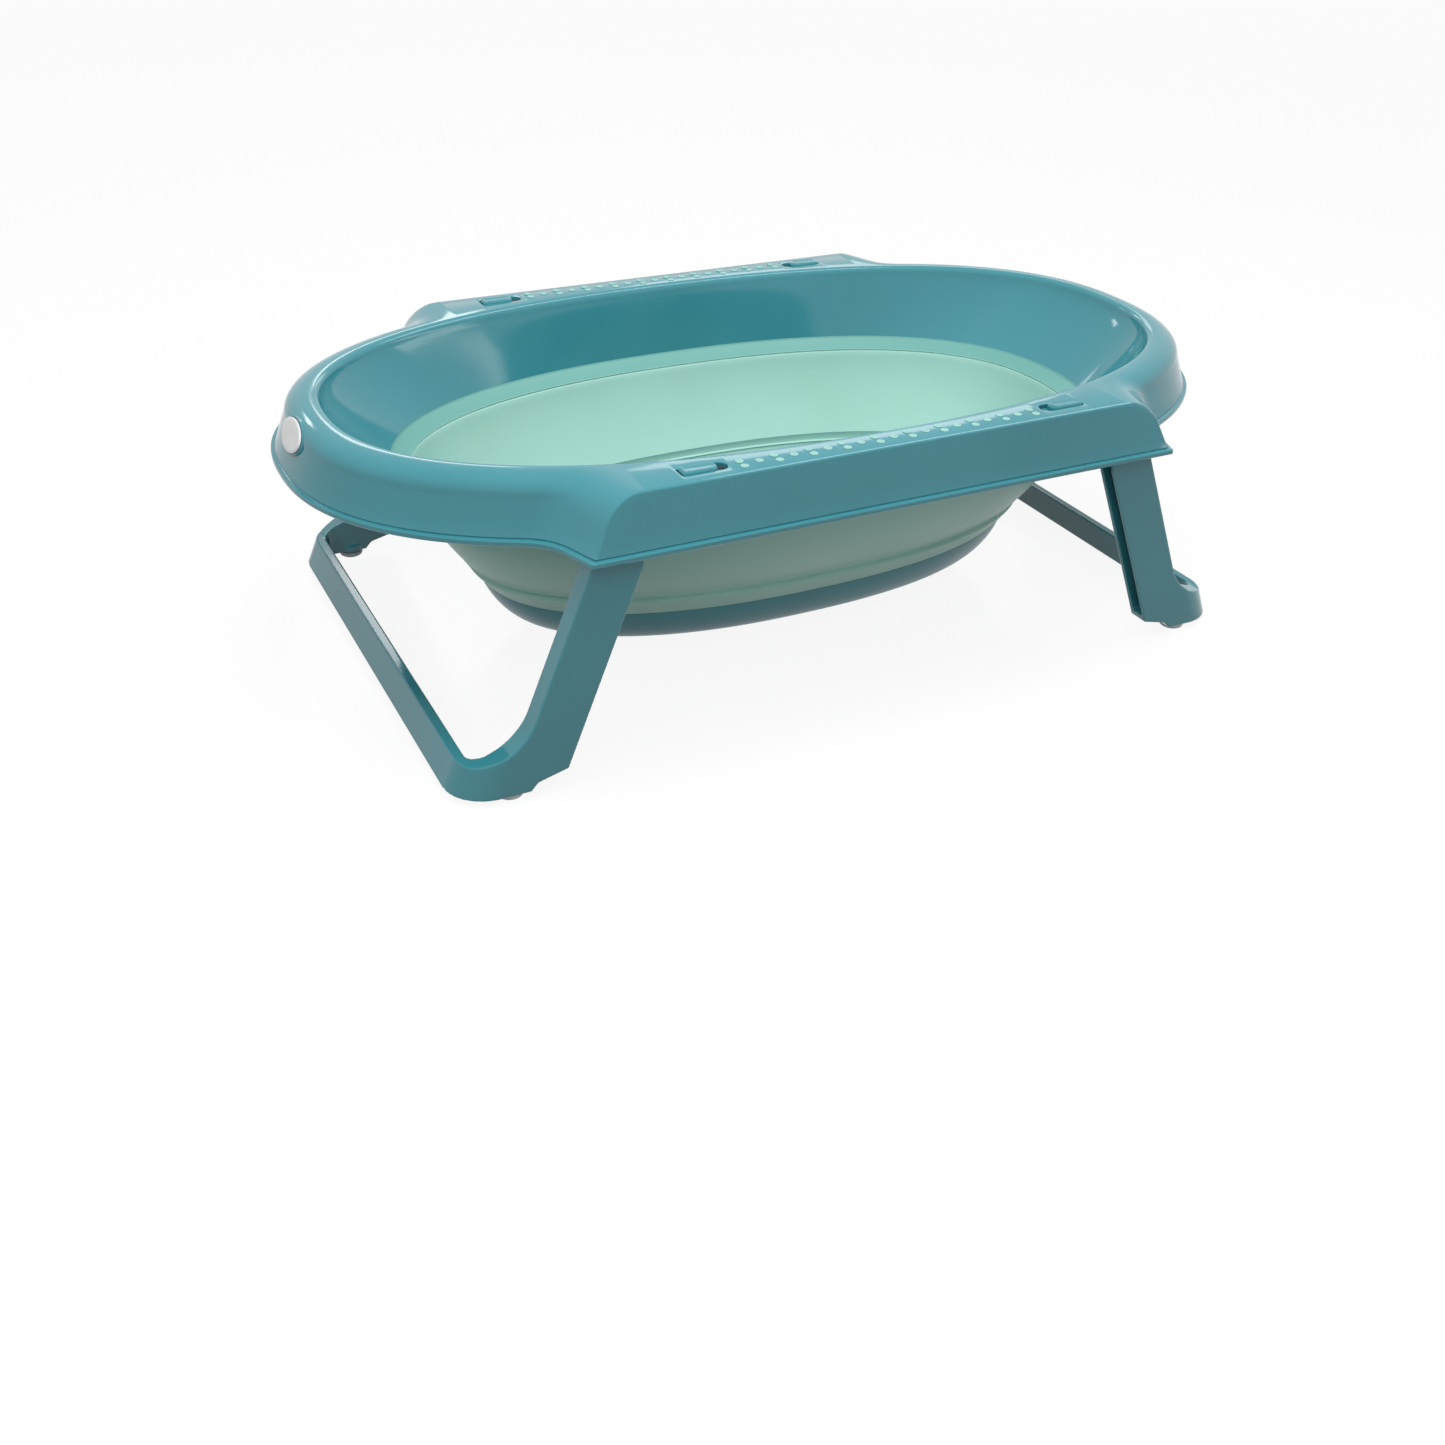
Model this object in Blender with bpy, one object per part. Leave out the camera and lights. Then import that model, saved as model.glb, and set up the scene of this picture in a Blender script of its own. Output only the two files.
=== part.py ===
"""Folding baby bathtub, open on its legs.

A moulded rim with two side rails carries a soft wall, which carries the base pan. Two leg
frames swing on pins inside the rails, and four sprung thumb locks sit on the rails' deck.
Metres, +Z up, +X along the tub, origin on the floor under the middle.
"""

import math

import bmesh
import bpy
from mathutils import Vector

# Driving dimensions: whole tub
DECK_HEIGHT = 0.231  # floor to the flat top of the side rails
WALL = 0.003  # moulded wall of rim, soft wall and base
GAP = 0.0003  # clearance between pieces that touch
RUN = 0.0001  # radial clearance of a pin in its bore
OVAL_POWER = 2.36  # squareness of the rim's oval
TUB_POWER = 2.3  # squareness of the soft wall's and the base's oval
SIDES = 24  # facets of a round pin or bore
TUB_STATIONS = 72  # points round the soft wall and the base

# Driving dimensions: rim, with drops measured down from the deck
CREST_LENGTH = 0.385  # half length along the top of the rim
CREST_WIDTH = 0.203  # half width along the top of the rim
CREST_FLAT = 0.002  # flat top of the crest
CREST_ROUND = 0.006  # inner rounding of the crest
SKIRT_ROUND = 0.020  # outer rounding of the crest, across
SKIRT_ROUND_DROP = 0.015  # and down
SKIRT_DRAFT = 0.0085  # how far the skirt spreads below its rounding
SKIRT_DROP = 0.0435  # deck to the bead along the lip
LIP_REACH = 0.003  # how far the bead stands out
LIP_HEIGHT = 0.004
HEM_LENGTH = 0.3225  # half length where the inner wall meets the soft wall
HEM_WIDTH = 0.186
HEM_DROP = 0.0656
BOWL_POWER = 1.25  # above 1, the inner wall hollows like a bowl

# Driving dimensions: side rails
RAIL_LENGTH = 0.2365  # half length of the rail at the deck, before its ends are rounded
RAIL_REACH = 0.023  # how far the rail's outer face lies outside the crest
RAIL_DRAFT = 0.009  # how far that face spreads from deck to lip
RAIL_EDGE = 0.0025  # rounding of the deck's outer edge
RAIL_END_DRAFT = 0.0185  # how far the rail's end spreads from deck to lip
RAIL_END_ROUND = 0.034
RAIL_BLEND = 0.034  # length of the curve from the rail's end into the oval

# Driving dimensions: soft wall and base, half sizes and drops
LEDGE_LENGTH = 0.307  # inner edge of the ledge under the hem
LEDGE_WIDTH = 0.1706
LEDGE_DROP = 0.0737
FOLD_LENGTH = 0.273  # outside of the crease where the wall turns over when folded
FOLD_WIDTH = 0.137
FOLD_DROP = 0.146
CREASE_DEPTH = 0.0037
CREASE_HEIGHT = 0.010
WALL_BELLY = 0.005  # how far the soft wall swells between ledge and crease
BASE_LENGTH = 0.252
BASE_WIDTH = 0.122
BASE_DROP = 0.172
BASE_DEPTH = 0.031
FLOOR_LENGTH = 0.221  # half size of the base's flat underside
FLOOR_WIDTH = 0.103

# Driving dimensions: drain
DRAIN_INSET = 0.028  # drain's centre inside the left end of the flat underside
DRAIN_BORE = 0.011
PLUG_FLANGE = 0.016
PLUG_FLANGE_HEIGHT = 0.003
PLUG_PULL = 0.012  # height of the pull tab

# Driving dimensions: leg frames
PIVOT_INSET = 0.0132  # pivot axis inside the rail's end at the deck
PIVOT_DROP = 0.031
LEG_SPLAY = math.radians(20.6)
LEG_WIDTH = 0.0395
LEG_SHIFT = 0.0023  # leg's centre line inside its pivot
HUB_RADIUS = 0.0155
SHOULDER = 0.024  # down the leg, where the hub has widened to the leg
LEG_THICK = 0.018
LEG_INSET = 0.005  # leg's outer face inside the rail's top edge
LEG_WALL = 0.003
CROSSBAR_OUT = 0.0545  # crossbar's outer face from the pivot, across the leg
CROSSBAR_TALL = 0.025
CROSSBAR_THICK = 0.0081  # level top of the crossbar, above its upright inner face
FLARE_ANGLE = math.radians(48.5)
FLARE_ROUND = 0.048
FRAME_CORNER = 0.032  # outer round corner between leg and crossbar
FRAME_CORNER_INNER = 0.014
FOOT_CONTACT = 0.0575  # length of the foot that stands on the floor
FOOT_STEP = 0.006
FOOT_STEP_RUN = 0.005
HEEL_LIFT = 0.012
PIN_RADIUS = 0.004
EAR_THICK = 0.004
EAR_RADIUS = 0.011
EAR_SPACE = 0.0012  # side play between leg and ear
BOSS_RADIUS = 0.008
PAD_RADIUS = 0.0105
PAD_HEIGHT = 0.005
PAD_INSET = 0.0445  # pad's centre inside the foot's outer edge

# Driving dimensions: thumb locks and grip dots
LOCK_SHIFT = 0.0065  # locks' line inside the deck's middle line
TAB_LENGTH = 0.029
TAB_WIDTH = 0.012
TAB_PROUD = 0.002
TAB_DISH = 0.0008
LOCK_TRAVEL = 0.007
SLOT_SPARE = 0.0015  # open slot left at each end of the travel
SLIDE_MARGIN = 0.004  # slide plate beyond the tab on each side
SLIDE_HEIGHT = 0.004
TONGUE_LENGTH = 0.010
TONGUE_WIDTH = 0.008
KEEPER = 0.002
SPRING_LENGTH = 0.0097
STOP_WIDTH = 0.010
SPRING_SWING = 0.0028  # half of a leaf's reach across
SPRING_LEAF = 0.0006
SPRING_LEAVES = 5
GRIP_SHIFT = 0.003  # dots' line inside the deck's middle line
GRIP_PAIRS = 10
GRIP_PITCH = 0.0289
GRIP_ROW = 0.0045  # outer rows from the middle row
DOT_RADIUS = 0.0033
DOT_PROUD = 0.0007
DOT_SIDES = 8
STRIP_MARGIN = 0.0006  # strip beyond its outermost dots
STRIP_HEIGHT = 0.002

# Driving dimensions: badge
BADGE_TILT = math.radians(22)
BADGE_WIDTH = 0.048
BADGE_HEIGHT = 0.0246
BADGE_THICK = 0.0015
SEAT_MARGIN = 0.0015  # flat seat round the badge
SEAT_PROUD = 0.0005  # seat above the skirt
SEAT_DEPTH = 0.0045

# Worked out from the driving dimensions
RAIL_SIDE = CREST_WIDTH + RAIL_REACH
DRAIN_X = DRAIN_INSET - FLOOR_LENGTH
LEG_OUTER = RAIL_SIDE - LEG_INSET
LEG_INNER = LEG_OUTER - LEG_THICK
PIVOT = (RAIL_LENGTH - PIVOT_INSET, DECK_HEIGHT - PIVOT_DROP)
LEG_BACK = -LEG_SHIFT - LEG_WIDTH / 2  # leg's inner edge across from the pivot
LEG_FRONT = -LEG_SHIFT + LEG_WIDTH / 2  # leg's outer edge
GRIP_Y = CREST_WIDTH + RAIL_REACH / 2 - GRIP_SHIFT
GRIP_LENGTH = GRIP_PITCH * (GRIP_PAIRS - 1) + 2 * (DOT_RADIUS + STRIP_MARGIN)
LOCK_Y = CREST_WIDTH + RAIL_REACH / 2 - LOCK_SHIFT
STOP_X = GRIP_LENGTH / 2 + 2 * GAP  # spring stop's side towards the strip
SLIDE_END = STOP_X + KEEPER + SPRING_LENGTH + 2 * GAP  # slide plate's end towards the spring
LOCK_X = SLIDE_END + SLIDE_MARGIN / 2 + TAB_LENGTH / 2
RAIL_STATIONS, BLEND_STATIONS, OVAL_STATIONS = 5, 7, 11
DEEP = 0.3  # reach of a cutter past what it cuts


def material(name, colour, roughness):
    """A plain moulded finish."""
    made = bpy.data.materials.new(name)
    made.use_nodes = True
    shader = made.node_tree.nodes["Principled BSDF"]
    shader.inputs["Base Color"].default_value = (*colour, 1)
    shader.inputs["Roughness"].default_value = roughness
    return made


def loft(rings, wrap):
    """Closed mesh through rings of points: a tube closed on itself, or capped at both ends."""
    mesh = bmesh.new()
    loops = [[mesh.verts.new(point) for point in ring] for ring in rings]
    pairs = list(zip(loops, loops[1:]))
    if wrap:
        pairs.append((loops[-1], loops[0]))
    else:
        mesh.faces.new(loops[0])
        mesh.faces.new(loops[-1])
    for first, second in pairs:
        for i in range(len(first)):
            j = (i + 1) % len(first)
            mesh.faces.new((first[i], first[j], second[j], second[i]))
    return mesh


def prism(outline, low, high, place):
    """An outline of (p, q) points extruded from low to high; place turns (p, q, h) into a point."""
    return loft([[place(p, q, h) for p, q in outline] for h in (low, high)], False)


def merged(meshes):
    """Several closed meshes as one."""
    whole = bmesh.new()
    for part in meshes:
        part.normal_update()
        carrier = bpy.data.meshes.new("carrier")
        bmesh.ops.recalc_face_normals(part, faces=part.faces)
        part.to_mesh(carrier)
        part.free()
        whole.from_mesh(carrier)
        bpy.data.meshes.remove(carrier)
    return whole


def add(name, mesh, finish, parent=None, origin=(0, 0, 0)):
    """A named object with its origin at a world point, under an empty where it has one."""
    bmesh.ops.recalc_face_normals(mesh, faces=mesh.faces)
    bmesh.ops.translate(mesh, verts=mesh.verts, vec=-Vector(origin))
    data = bpy.data.meshes.new(name)
    mesh.to_mesh(data)
    mesh.free()
    data.materials.append(finish)
    data.shade_smooth()
    data.set_sharp_from_angle(angle=math.radians(35))
    obj = bpy.data.objects.new(name, data)
    bpy.context.scene.collection.objects.link(obj)
    obj.location = origin
    if parent:
        obj.parent = parent
        obj.location = Vector(origin) - world_place(parent)
    return obj


def world_place(obj):
    """World position of an object that is unturned, like all it hangs from."""
    place = obj.location.copy()
    return place + world_place(obj.parent) if obj.parent else place


def empty(name, place, parent=None):
    """An empty on a joint's axis."""
    obj = bpy.data.objects.new(name, None)
    bpy.context.scene.collection.objects.link(obj)
    obj.location = place
    if parent:
        obj.parent = parent
        obj.location = Vector(place) - world_place(parent)
    return obj


def boolean(target, name, mesh, operation):
    """Joins a helper shape to an object, cuts it out, or keeps what both share."""
    helper = add(name, mesh, target.data.materials[0])
    helper.hide_render = True
    helper.display_type = "WIRE"
    step = target.modifiers.new(name, "BOOLEAN")
    step.operation = operation
    step.object = helper


def along_x(p, q, h):
    return Vector((h, p, q))


def along_y(p, q, h):
    return Vector((p, h, q))


def along_z(p, q, h):
    return Vector((p, q, h))


def circle(x, y, radius, sides=SIDES):
    """Regular outline whose flats touch the radius from outside."""
    reach = radius / math.cos(math.pi / sides)
    turns = [2 * math.pi * (i + 0.5) / sides for i in range(sides)]
    return [(x + reach * math.cos(t), y + reach * math.sin(t)) for t in turns]


def pin_circle(x, y, radius, sides=SIDES):
    """Regular outline whose corners touch the radius from inside."""
    return circle(x, y, radius * math.cos(math.pi / sides), sides)


def rectangle(x, y, length, width):
    return [(x + i * length / 2, y + j * width / 2) for i, j in ((-1, -1), (1, -1), (1, 1), (-1, 1))]


def arc(x, y, radius, start, end, steps):
    """Points of an arc, angles in radians."""
    turns = [start + (end - start) * i / steps for i in range(steps + 1)]
    return [(x + radius * math.cos(t), y + radius * math.sin(t)) for t in turns]


def pill(x, y, length, width, steps=6):
    """Outline with two round ends."""
    half, quarter = length / 2 - width / 2, math.pi / 2
    right = arc(x + half, y, width / 2, -quarter, quarter, steps)
    return right + arc(x - half, y, width / 2, quarter, 3 * quarter, steps)


def oval_quarter(length, width, power, shares):
    """Quarter oval from the middle of the side to the tip, at shares of its half length."""
    return [(length * s, width * max(0, 1 - s**power) ** (1 / power)) for s in shares]


def around(quarter, z):
    """A quarter outline, from x = 0 to y = 0, mirrored into a closed ring."""
    ring = list(quarter)
    ring += [(x, -y) for x, y in reversed(quarter[:-1])]
    ring += [(-x, -y) for x, y in quarter[1:]]
    ring += [(-x, y) for x, y in reversed(quarter[1:-1])]
    return [Vector((x, y, z)) for x, y in ring]


def skirt_spread(drop):
    """How far the oval skirt lies outside the crest, at a drop below the deck."""
    if drop < SKIRT_ROUND_DROP:
        return SKIRT_ROUND * math.sqrt(1 - (1 - drop / SKIRT_ROUND_DROP) ** 2)
    return SKIRT_ROUND + SKIRT_DRAFT * (drop - SKIRT_ROUND_DROP) / (SKIRT_DROP - SKIRT_ROUND_DROP)


def rail_end(drop):
    """Where the rail's outer face ends, at a drop below the deck: a round, then a slope."""
    slope = RAIL_END_DRAFT / SKIRT_DROP
    turn = math.pi / 2 - math.atan(slope)
    start = RAIL_LENGTH - RAIL_END_ROUND * math.tan(turn / 2)
    if drop < RAIL_END_ROUND * (1 - math.cos(turn)):
        return start + math.sqrt(RAIL_END_ROUND**2 - (RAIL_END_ROUND - drop) ** 2)
    return RAIL_LENGTH + slope * drop


def rail_side(drop):
    """The rail's outer face, with its rounded upper edge."""
    edge = RAIL_EDGE * max(0, 1 - drop / RAIL_EDGE) ** 2
    return RAIL_SIDE - edge + RAIL_DRAFT * drop / SKIRT_DROP


def rim_quarter(drop, inset=0.0):
    """The rim's outline at a drop below the deck: rail, blend into the oval, oval to the tip."""
    end, side = rail_end(drop) - inset, rail_side(drop) - inset
    length = CREST_LENGTH + skirt_spread(drop) - inset
    width = CREST_WIDTH + skirt_spread(drop) - inset
    points = [(end * i / RAIL_STATIONS, side) for i in range(RAIL_STATIONS + 1)]

    share = (end + RAIL_BLEND) / length
    (join_x, join_y), (next_x, next_y) = oval_quarter(length, width, OVAL_POWER, (share, share + 0.01))
    start, join = Vector((end, side)), Vector((join_x, join_y))
    pull = (join - start).length * 0.45
    down = Vector((RAIL_BLEND * 0.64, join_y - side)).normalized() * pull
    tangent = Vector((next_x - join_x, next_y - join_y)).normalized() * pull
    for i in range(1, BLEND_STATIONS + 1):
        t = i / BLEND_STATIONS
        curve = (1 - t) ** 3 * start + 3 * t * (1 - t) ** 2 * (start + down)
        curve += 3 * t**2 * (1 - t) * (join - tangent) + t**3 * join
        points.append((curve.x, curve.y))

    turn = math.acos(share ** (OVAL_POWER / 2))
    for i in range(1, OVAL_STATIONS + 1):
        angle = turn * (1 - i / OVAL_STATIONS)
        points += oval_quarter(length, width, OVAL_POWER, (math.cos(angle) ** (2 / OVAL_POWER),))
    return points


def rim_ring(drop, inset=0.0, at=None):
    return around(rim_quarter(drop, inset), DECK_HEIGHT - (drop if at is None else at))


RIM_SHARES = [x / CREST_LENGTH for x, y in rim_quarter(0.0)]


def bowl_ring(inset, drop):
    """A ring of the rim's inner side, inset from the crest."""
    quarter = oval_quarter(CREST_LENGTH - inset, CREST_WIDTH - inset, OVAL_POWER, RIM_SHARES)
    return around(quarter, DECK_HEIGHT - drop)


def inner_wall_ring(share, outward):
    """A ring of the inner wall: share 0 under the crest, 1 at the hem."""
    top = CREST_FLAT + CREST_ROUND
    bowl = share**BOWL_POWER
    length = (CREST_LENGTH - top) * (1 - bowl) + HEM_LENGTH * bowl + outward
    width = (CREST_WIDTH - top) * (1 - share) + HEM_WIDTH * share + outward
    power = OVAL_POWER + (TUB_POWER - OVAL_POWER) * share
    drop = CREST_ROUND * (1 - share) + HEM_DROP * share
    return around(oval_quarter(length, width, power, RIM_SHARES), DECK_HEIGHT - drop)


def make_rim(finish):
    """The rim's shell: outer skirt and rails, deck, crest, inner wall, then back underneath."""
    drops = (0.030, SKIRT_ROUND_DROP, 0.009, 0.004, 0.0012, 0.0)
    lip_drop = SKIRT_DROP + LIP_HEIGHT
    rings = [rim_ring(SKIRT_DROP, -LIP_REACH, lip_drop), rim_ring(SKIRT_DROP, -LIP_REACH)]
    rings += [rim_ring(SKIRT_DROP, 0, SKIRT_DROP - LIP_REACH * 0.2)]
    rings += [rim_ring(drop) for drop in drops]
    rings += [bowl_ring(CREST_FLAT, 0), bowl_ring(CREST_FLAT + CREST_ROUND * 0.5, CREST_ROUND * 0.2)]
    shares = (0, 0.33, 0.67, 1)
    rings += [inner_wall_ring(share, 0) for share in shares]
    rings += [inner_wall_ring(share, WALL) for share in reversed(shares[1:])]
    rings += [bowl_ring(CREST_FLAT + CREST_ROUND - WALL, CREST_ROUND + WALL * 0.6)]
    rings += [bowl_ring(CREST_FLAT - WALL * 0.2, WALL), rim_ring(0.004, WALL * 2.3, WALL)]
    rings += [rim_ring(drop, WALL) for drop in (0.009, SKIRT_ROUND_DROP, 0.030)]
    rings += [rim_ring(SKIRT_DROP, WALL, lip_drop)]
    rim = add("rim_frame", loft(rings, True), finish)

    boolean(rim, "rim_ribs", merged(rim_ribs()), "UNION")
    boolean(rim, "rim_openings", merged(rim_openings()), "DIFFERENCE")
    return rim


def rim_ribs():
    """What is moulded onto the rim: hinge ears and bosses, lock keepers, spring stops, badge seat."""
    ribs = []
    top = DECK_HEIGHT - WALL / 2
    deep = PIVOT[1] - EAR_RADIUS
    for end in (-1, 1):
        pivot_x = end * PIVOT[0]
        ear = [(pivot_x - end * EAR_RADIUS * 2.2, top), (pivot_x - end * EAR_RADIUS * 0.4, top)]
        ear += [(pivot_x + end * EAR_RADIUS, PIVOT[1] + EAR_RADIUS), (pivot_x + end * EAR_RADIUS, deep)]
        ear += [(pivot_x - end * EAR_RADIUS, deep), (pivot_x - end * EAR_RADIUS * 2.2, PIVOT[1] + EAR_RADIUS)]
        for side in (-1, 1):
            inner = side * (LEG_INNER - EAR_SPACE)
            ribs.append(prism(ear, inner - side * EAR_THICK, inner, along_y))
            face = rail_side(PIVOT_DROP) - WALL / 2
            boss = circle(pivot_x, PIVOT[1], BOSS_RADIUS)
            ribs.append(prism(boss, side * (LEG_OUTER + EAR_SPACE), side * face, along_y))
            ribs += lock_ribs(end, side, top)
    ribs.append(badge_shape(SEAT_MARGIN, -SEAT_DEPTH, 0))
    return ribs


def lock_ribs(end, side, top):
    """Two keepers that hold a lock's slide plate up, and the stop its spring leans on."""
    ribs = []
    plate_low = DECK_HEIGHT - WALL - GAP - SLIDE_HEIGHT
    shelf = plate_low - GAP
    for edge in (-1, 1):
        rim = side * LOCK_Y + edge * (TAB_WIDTH / 2 + SLIDE_MARGIN)
        post_in, post_out, lip = rim + edge * GAP, rim + edge * (GAP + KEEPER), rim - edge * KEEPER
        outline = [(post_out, top), (post_out, shelf - KEEPER), (lip, shelf - KEEPER)]
        outline += [(lip, shelf), (post_in, shelf), (post_in, top)]
        middle = end * LOCK_X
        ribs.append(prism(outline, middle - TAB_LENGTH / 3, middle + TAB_LENGTH / 3, along_x))
    stop = rectangle(end * (STOP_X + KEEPER / 2), side * LOCK_Y, KEEPER, STOP_WIDTH)
    ribs.append(prism(stop, plate_low, top, along_z))
    return ribs


def rim_openings():
    """What is cut through the rim: pin bores, lock slots and the grip dots' holes."""
    cuts = []
    for side in (-1, 1):
        for end in (-1, 1):
            blind = side * (LEG_OUTER + EAR_SPACE + PIN_RADIUS)
            bore = circle(end * PIVOT[0], PIVOT[1], PIN_RADIUS + RUN)
            cuts.append(prism(bore, side * (LEG_INNER - EAR_SPACE - 2 * EAR_THICK), blind, along_y))
            length = TAB_LENGTH + LOCK_TRAVEL + 2 * SLOT_SPARE
            middle = end * (LOCK_X - LOCK_TRAVEL / 2)
            slot = pill(middle, side * LOCK_Y, length, TAB_WIDTH + 2 * GAP)
            cuts.append(prism(slot, DECK_HEIGHT - 2 * WALL, DECK_HEIGHT + WALL, along_z))
        for x, y in dot_places(side):
            hole = circle(x, y, DOT_RADIUS + GAP, DOT_SIDES)
            cuts.append(prism(hole, DECK_HEIGHT - 2 * WALL, DECK_HEIGHT + WALL, along_z))
    return cuts


def dot_places(side):
    """Grip dots of one rail: pairs, with a single dot between each two pairs."""
    places = []
    first = -GRIP_PITCH * (GRIP_PAIRS - 1) / 2
    for i in range(2 * GRIP_PAIRS - 1):
        x = first + GRIP_PITCH * i / 2
        rows = (0,) if i % 2 else (-GRIP_ROW, GRIP_ROW)
        places += [(x, side * (GRIP_Y + row)) for row in rows]
    return places


def make_grip_strip(name, side, finish):
    """Soft strip under the deck whose dots come up through the deck's holes."""
    top = DECK_HEIGHT - WALL - GAP
    width = 2 * (GRIP_ROW + DOT_RADIUS + STRIP_MARGIN)
    plate = rectangle(0, side * GRIP_Y, GRIP_LENGTH, width)
    strip = add(name, prism(plate, top - STRIP_HEIGHT, top, along_z), finish)
    dots = [
        prism(circle(x, y, DOT_RADIUS, DOT_SIDES), top - STRIP_HEIGHT / 2, DECK_HEIGHT + DOT_PROUD, along_z)
        for x, y in dot_places(side)
    ]
    boolean(strip, name + "_dots", merged(dots), "UNION")


def tub_ring(length, width, drop):
    """A ring of the soft wall or the base."""
    count = TUB_STATIONS // 4
    turns = [math.pi / 2 * (1 - i / count) for i in range(count + 1)]
    shares = [max(0, math.cos(t)) ** (2 / TUB_POWER) for t in turns]
    shares[0], shares[-1] = 0, 1
    return around(oval_quarter(length, width, TUB_POWER, shares), DECK_HEIGHT - drop)


def make_soft_wall(finish):
    """Soft wall: hem under the rim, ledge, long slope, crease, and a band down to the base."""
    top, foot = HEM_DROP + GAP, BASE_DROP - GAP
    middle_drop = (LEDGE_DROP + FOLD_DROP) / 2
    middle_length = (LEDGE_LENGTH + WALL + FOLD_LENGTH) / 2 + WALL_BELLY
    middle_width = (LEDGE_WIDTH + WALL + FOLD_WIDTH) / 2 + WALL_BELLY
    band_drop = FOLD_DROP + CREASE_HEIGHT
    down = CREASE_HEIGHT / (BASE_DROP - FOLD_DROP)
    band_length = FOLD_LENGTH + (BASE_LENGTH - FOLD_LENGTH) * down
    band_width = FOLD_WIDTH + (BASE_WIDTH - FOLD_WIDTH) * down
    outside = [
        (HEM_LENGTH + WALL, HEM_WIDTH + WALL, top),
        (HEM_LENGTH + WALL, HEM_WIDTH + WALL, top + WALL),
        (LEDGE_LENGTH + WALL, LEDGE_WIDTH + WALL, LEDGE_DROP + WALL),
        (middle_length, middle_width, middle_drop),
        (FOLD_LENGTH, FOLD_WIDTH, FOLD_DROP),
        (FOLD_LENGTH - CREASE_DEPTH, FOLD_WIDTH - CREASE_DEPTH, FOLD_DROP + CREASE_HEIGHT * 0.4),
        (band_length, band_width, band_drop),
        (BASE_LENGTH, BASE_WIDTH, foot),
    ]
    inside = [
        (BASE_LENGTH - WALL, BASE_WIDTH - WALL, foot),
        (band_length - WALL, band_width - WALL, band_drop),
        (FOLD_LENGTH - CREASE_DEPTH - WALL, FOLD_WIDTH - CREASE_DEPTH - WALL, FOLD_DROP),
        (middle_length - WALL, middle_width - WALL, middle_drop),
        (LEDGE_LENGTH - WALL / 2, LEDGE_WIDTH - WALL / 2, LEDGE_DROP + WALL / 2),
        (LEDGE_LENGTH, LEDGE_WIDTH, LEDGE_DROP),
        (HEM_LENGTH, HEM_WIDTH, top),
    ]
    add("soft_wall", loft([tub_ring(*ring) for ring in outside + inside], True), finish)


def make_base(finish, slide):
    """Base pan: a shallow dish with rounded edges and a drain hole."""
    curve = ((0, 0), (0.14, 0.32), (0.38, 0.66), (0.70, 0.88), (1, 1))

    def ring(inset, share, depth):
        length = BASE_LENGTH - inset + (FLOOR_LENGTH - BASE_LENGTH) * share
        width = BASE_WIDTH - inset + (FLOOR_WIDTH - BASE_WIDTH) * share
        return tub_ring(length, width, BASE_DROP + depth)

    rings = [ring(0, t, BASE_DEPTH * d) for t, d in reversed(curve)]
    rings += [ring(WALL, t, (BASE_DEPTH - WALL) * d) for t, d in curve]
    floor = DECK_HEIGHT - BASE_DROP - BASE_DEPTH
    base = add("base_pan", loft(rings, False), finish, slide, world_place(slide))
    hole = prism(circle(DRAIN_X, 0, DRAIN_BORE + GAP), floor - WALL, floor + 2 * WALL, along_z)
    boolean(base, "drain_hole", hole, "DIFFERENCE")


def make_plug(finish, slide):
    """Drain plug: a stem in the hole, a flange on the floor and a pull tab."""
    under = DECK_HEIGHT - BASE_DROP - BASE_DEPTH
    seat = under + WALL + GAP
    rings = [(DRAIN_BORE * 0.9, under), (DRAIN_BORE, under + WALL / 2), (DRAIN_BORE, seat)]
    rings += [(PLUG_FLANGE, seat), (PLUG_FLANGE, seat + PLUG_FLANGE_HEIGHT * 0.6)]
    rings += [(PLUG_FLANGE * 0.85, seat + PLUG_FLANGE_HEIGHT)]
    turned = [[Vector((x, y, z)) for x, y in pin_circle(DRAIN_X, 0, r)] for r, z in rings]
    plug = add("drain_plug", loft(turned, False), finish, slide, world_place(slide))
    tall = seat + PLUG_FLANGE_HEIGHT
    tab_width = PLUG_FLANGE * 0.9
    tab = arc(DRAIN_X, tall + PLUG_PULL - tab_width / 2, tab_width / 2, 0, math.pi, 8)
    tab += [(DRAIN_X - tab_width / 2, seat + WALL / 2), (DRAIN_X + tab_width / 2, seat + WALL / 2)]
    boolean(plug, "plug_pull_tab", prism(tab, -WALL / 2, WALL / 2, along_y), "UNION")


def leg_point(end, u, v, y):
    """A point of a leg frame: u down the leg from its pivot, v outward across it."""
    x = PIVOT[0] + u * math.sin(LEG_SPLAY) + v * math.cos(LEG_SPLAY)
    z = PIVOT[1] - u * math.cos(LEG_SPLAY) + v * math.sin(LEG_SPLAY)
    return Vector((end * x, y, z))


def down_to(height, v):
    """How far down the leg a height above the floor lies, at v across it."""
    return (PIVOT[1] + v * math.sin(LEG_SPLAY) - height) / math.cos(LEG_SPLAY)


def leg_place(x, height):
    """A world x and a height above the floor as (u, v) of the leg on the +X end."""
    out, drop = x - PIVOT[0], PIVOT[1] - height
    u = out * math.sin(LEG_SPLAY) + drop * math.cos(LEG_SPLAY)
    return u, out * math.cos(LEG_SPLAY) - drop * math.sin(LEG_SPLAY)


def foot_edge():
    """World x of the foot's outer edge on the floor."""
    return leg_point(1, down_to(PAD_HEIGHT, CROSSBAR_OUT), CROSSBAR_OUT, 0).x


def crossbar_edge():
    """World x and height of the crossbar's upper outer edge on the +X end."""
    edge = leg_point(1, down_to(PAD_HEIGHT, CROSSBAR_OUT) - CROSSBAR_TALL, CROSSBAR_OUT, 0)
    return edge.x, edge.z


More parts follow.
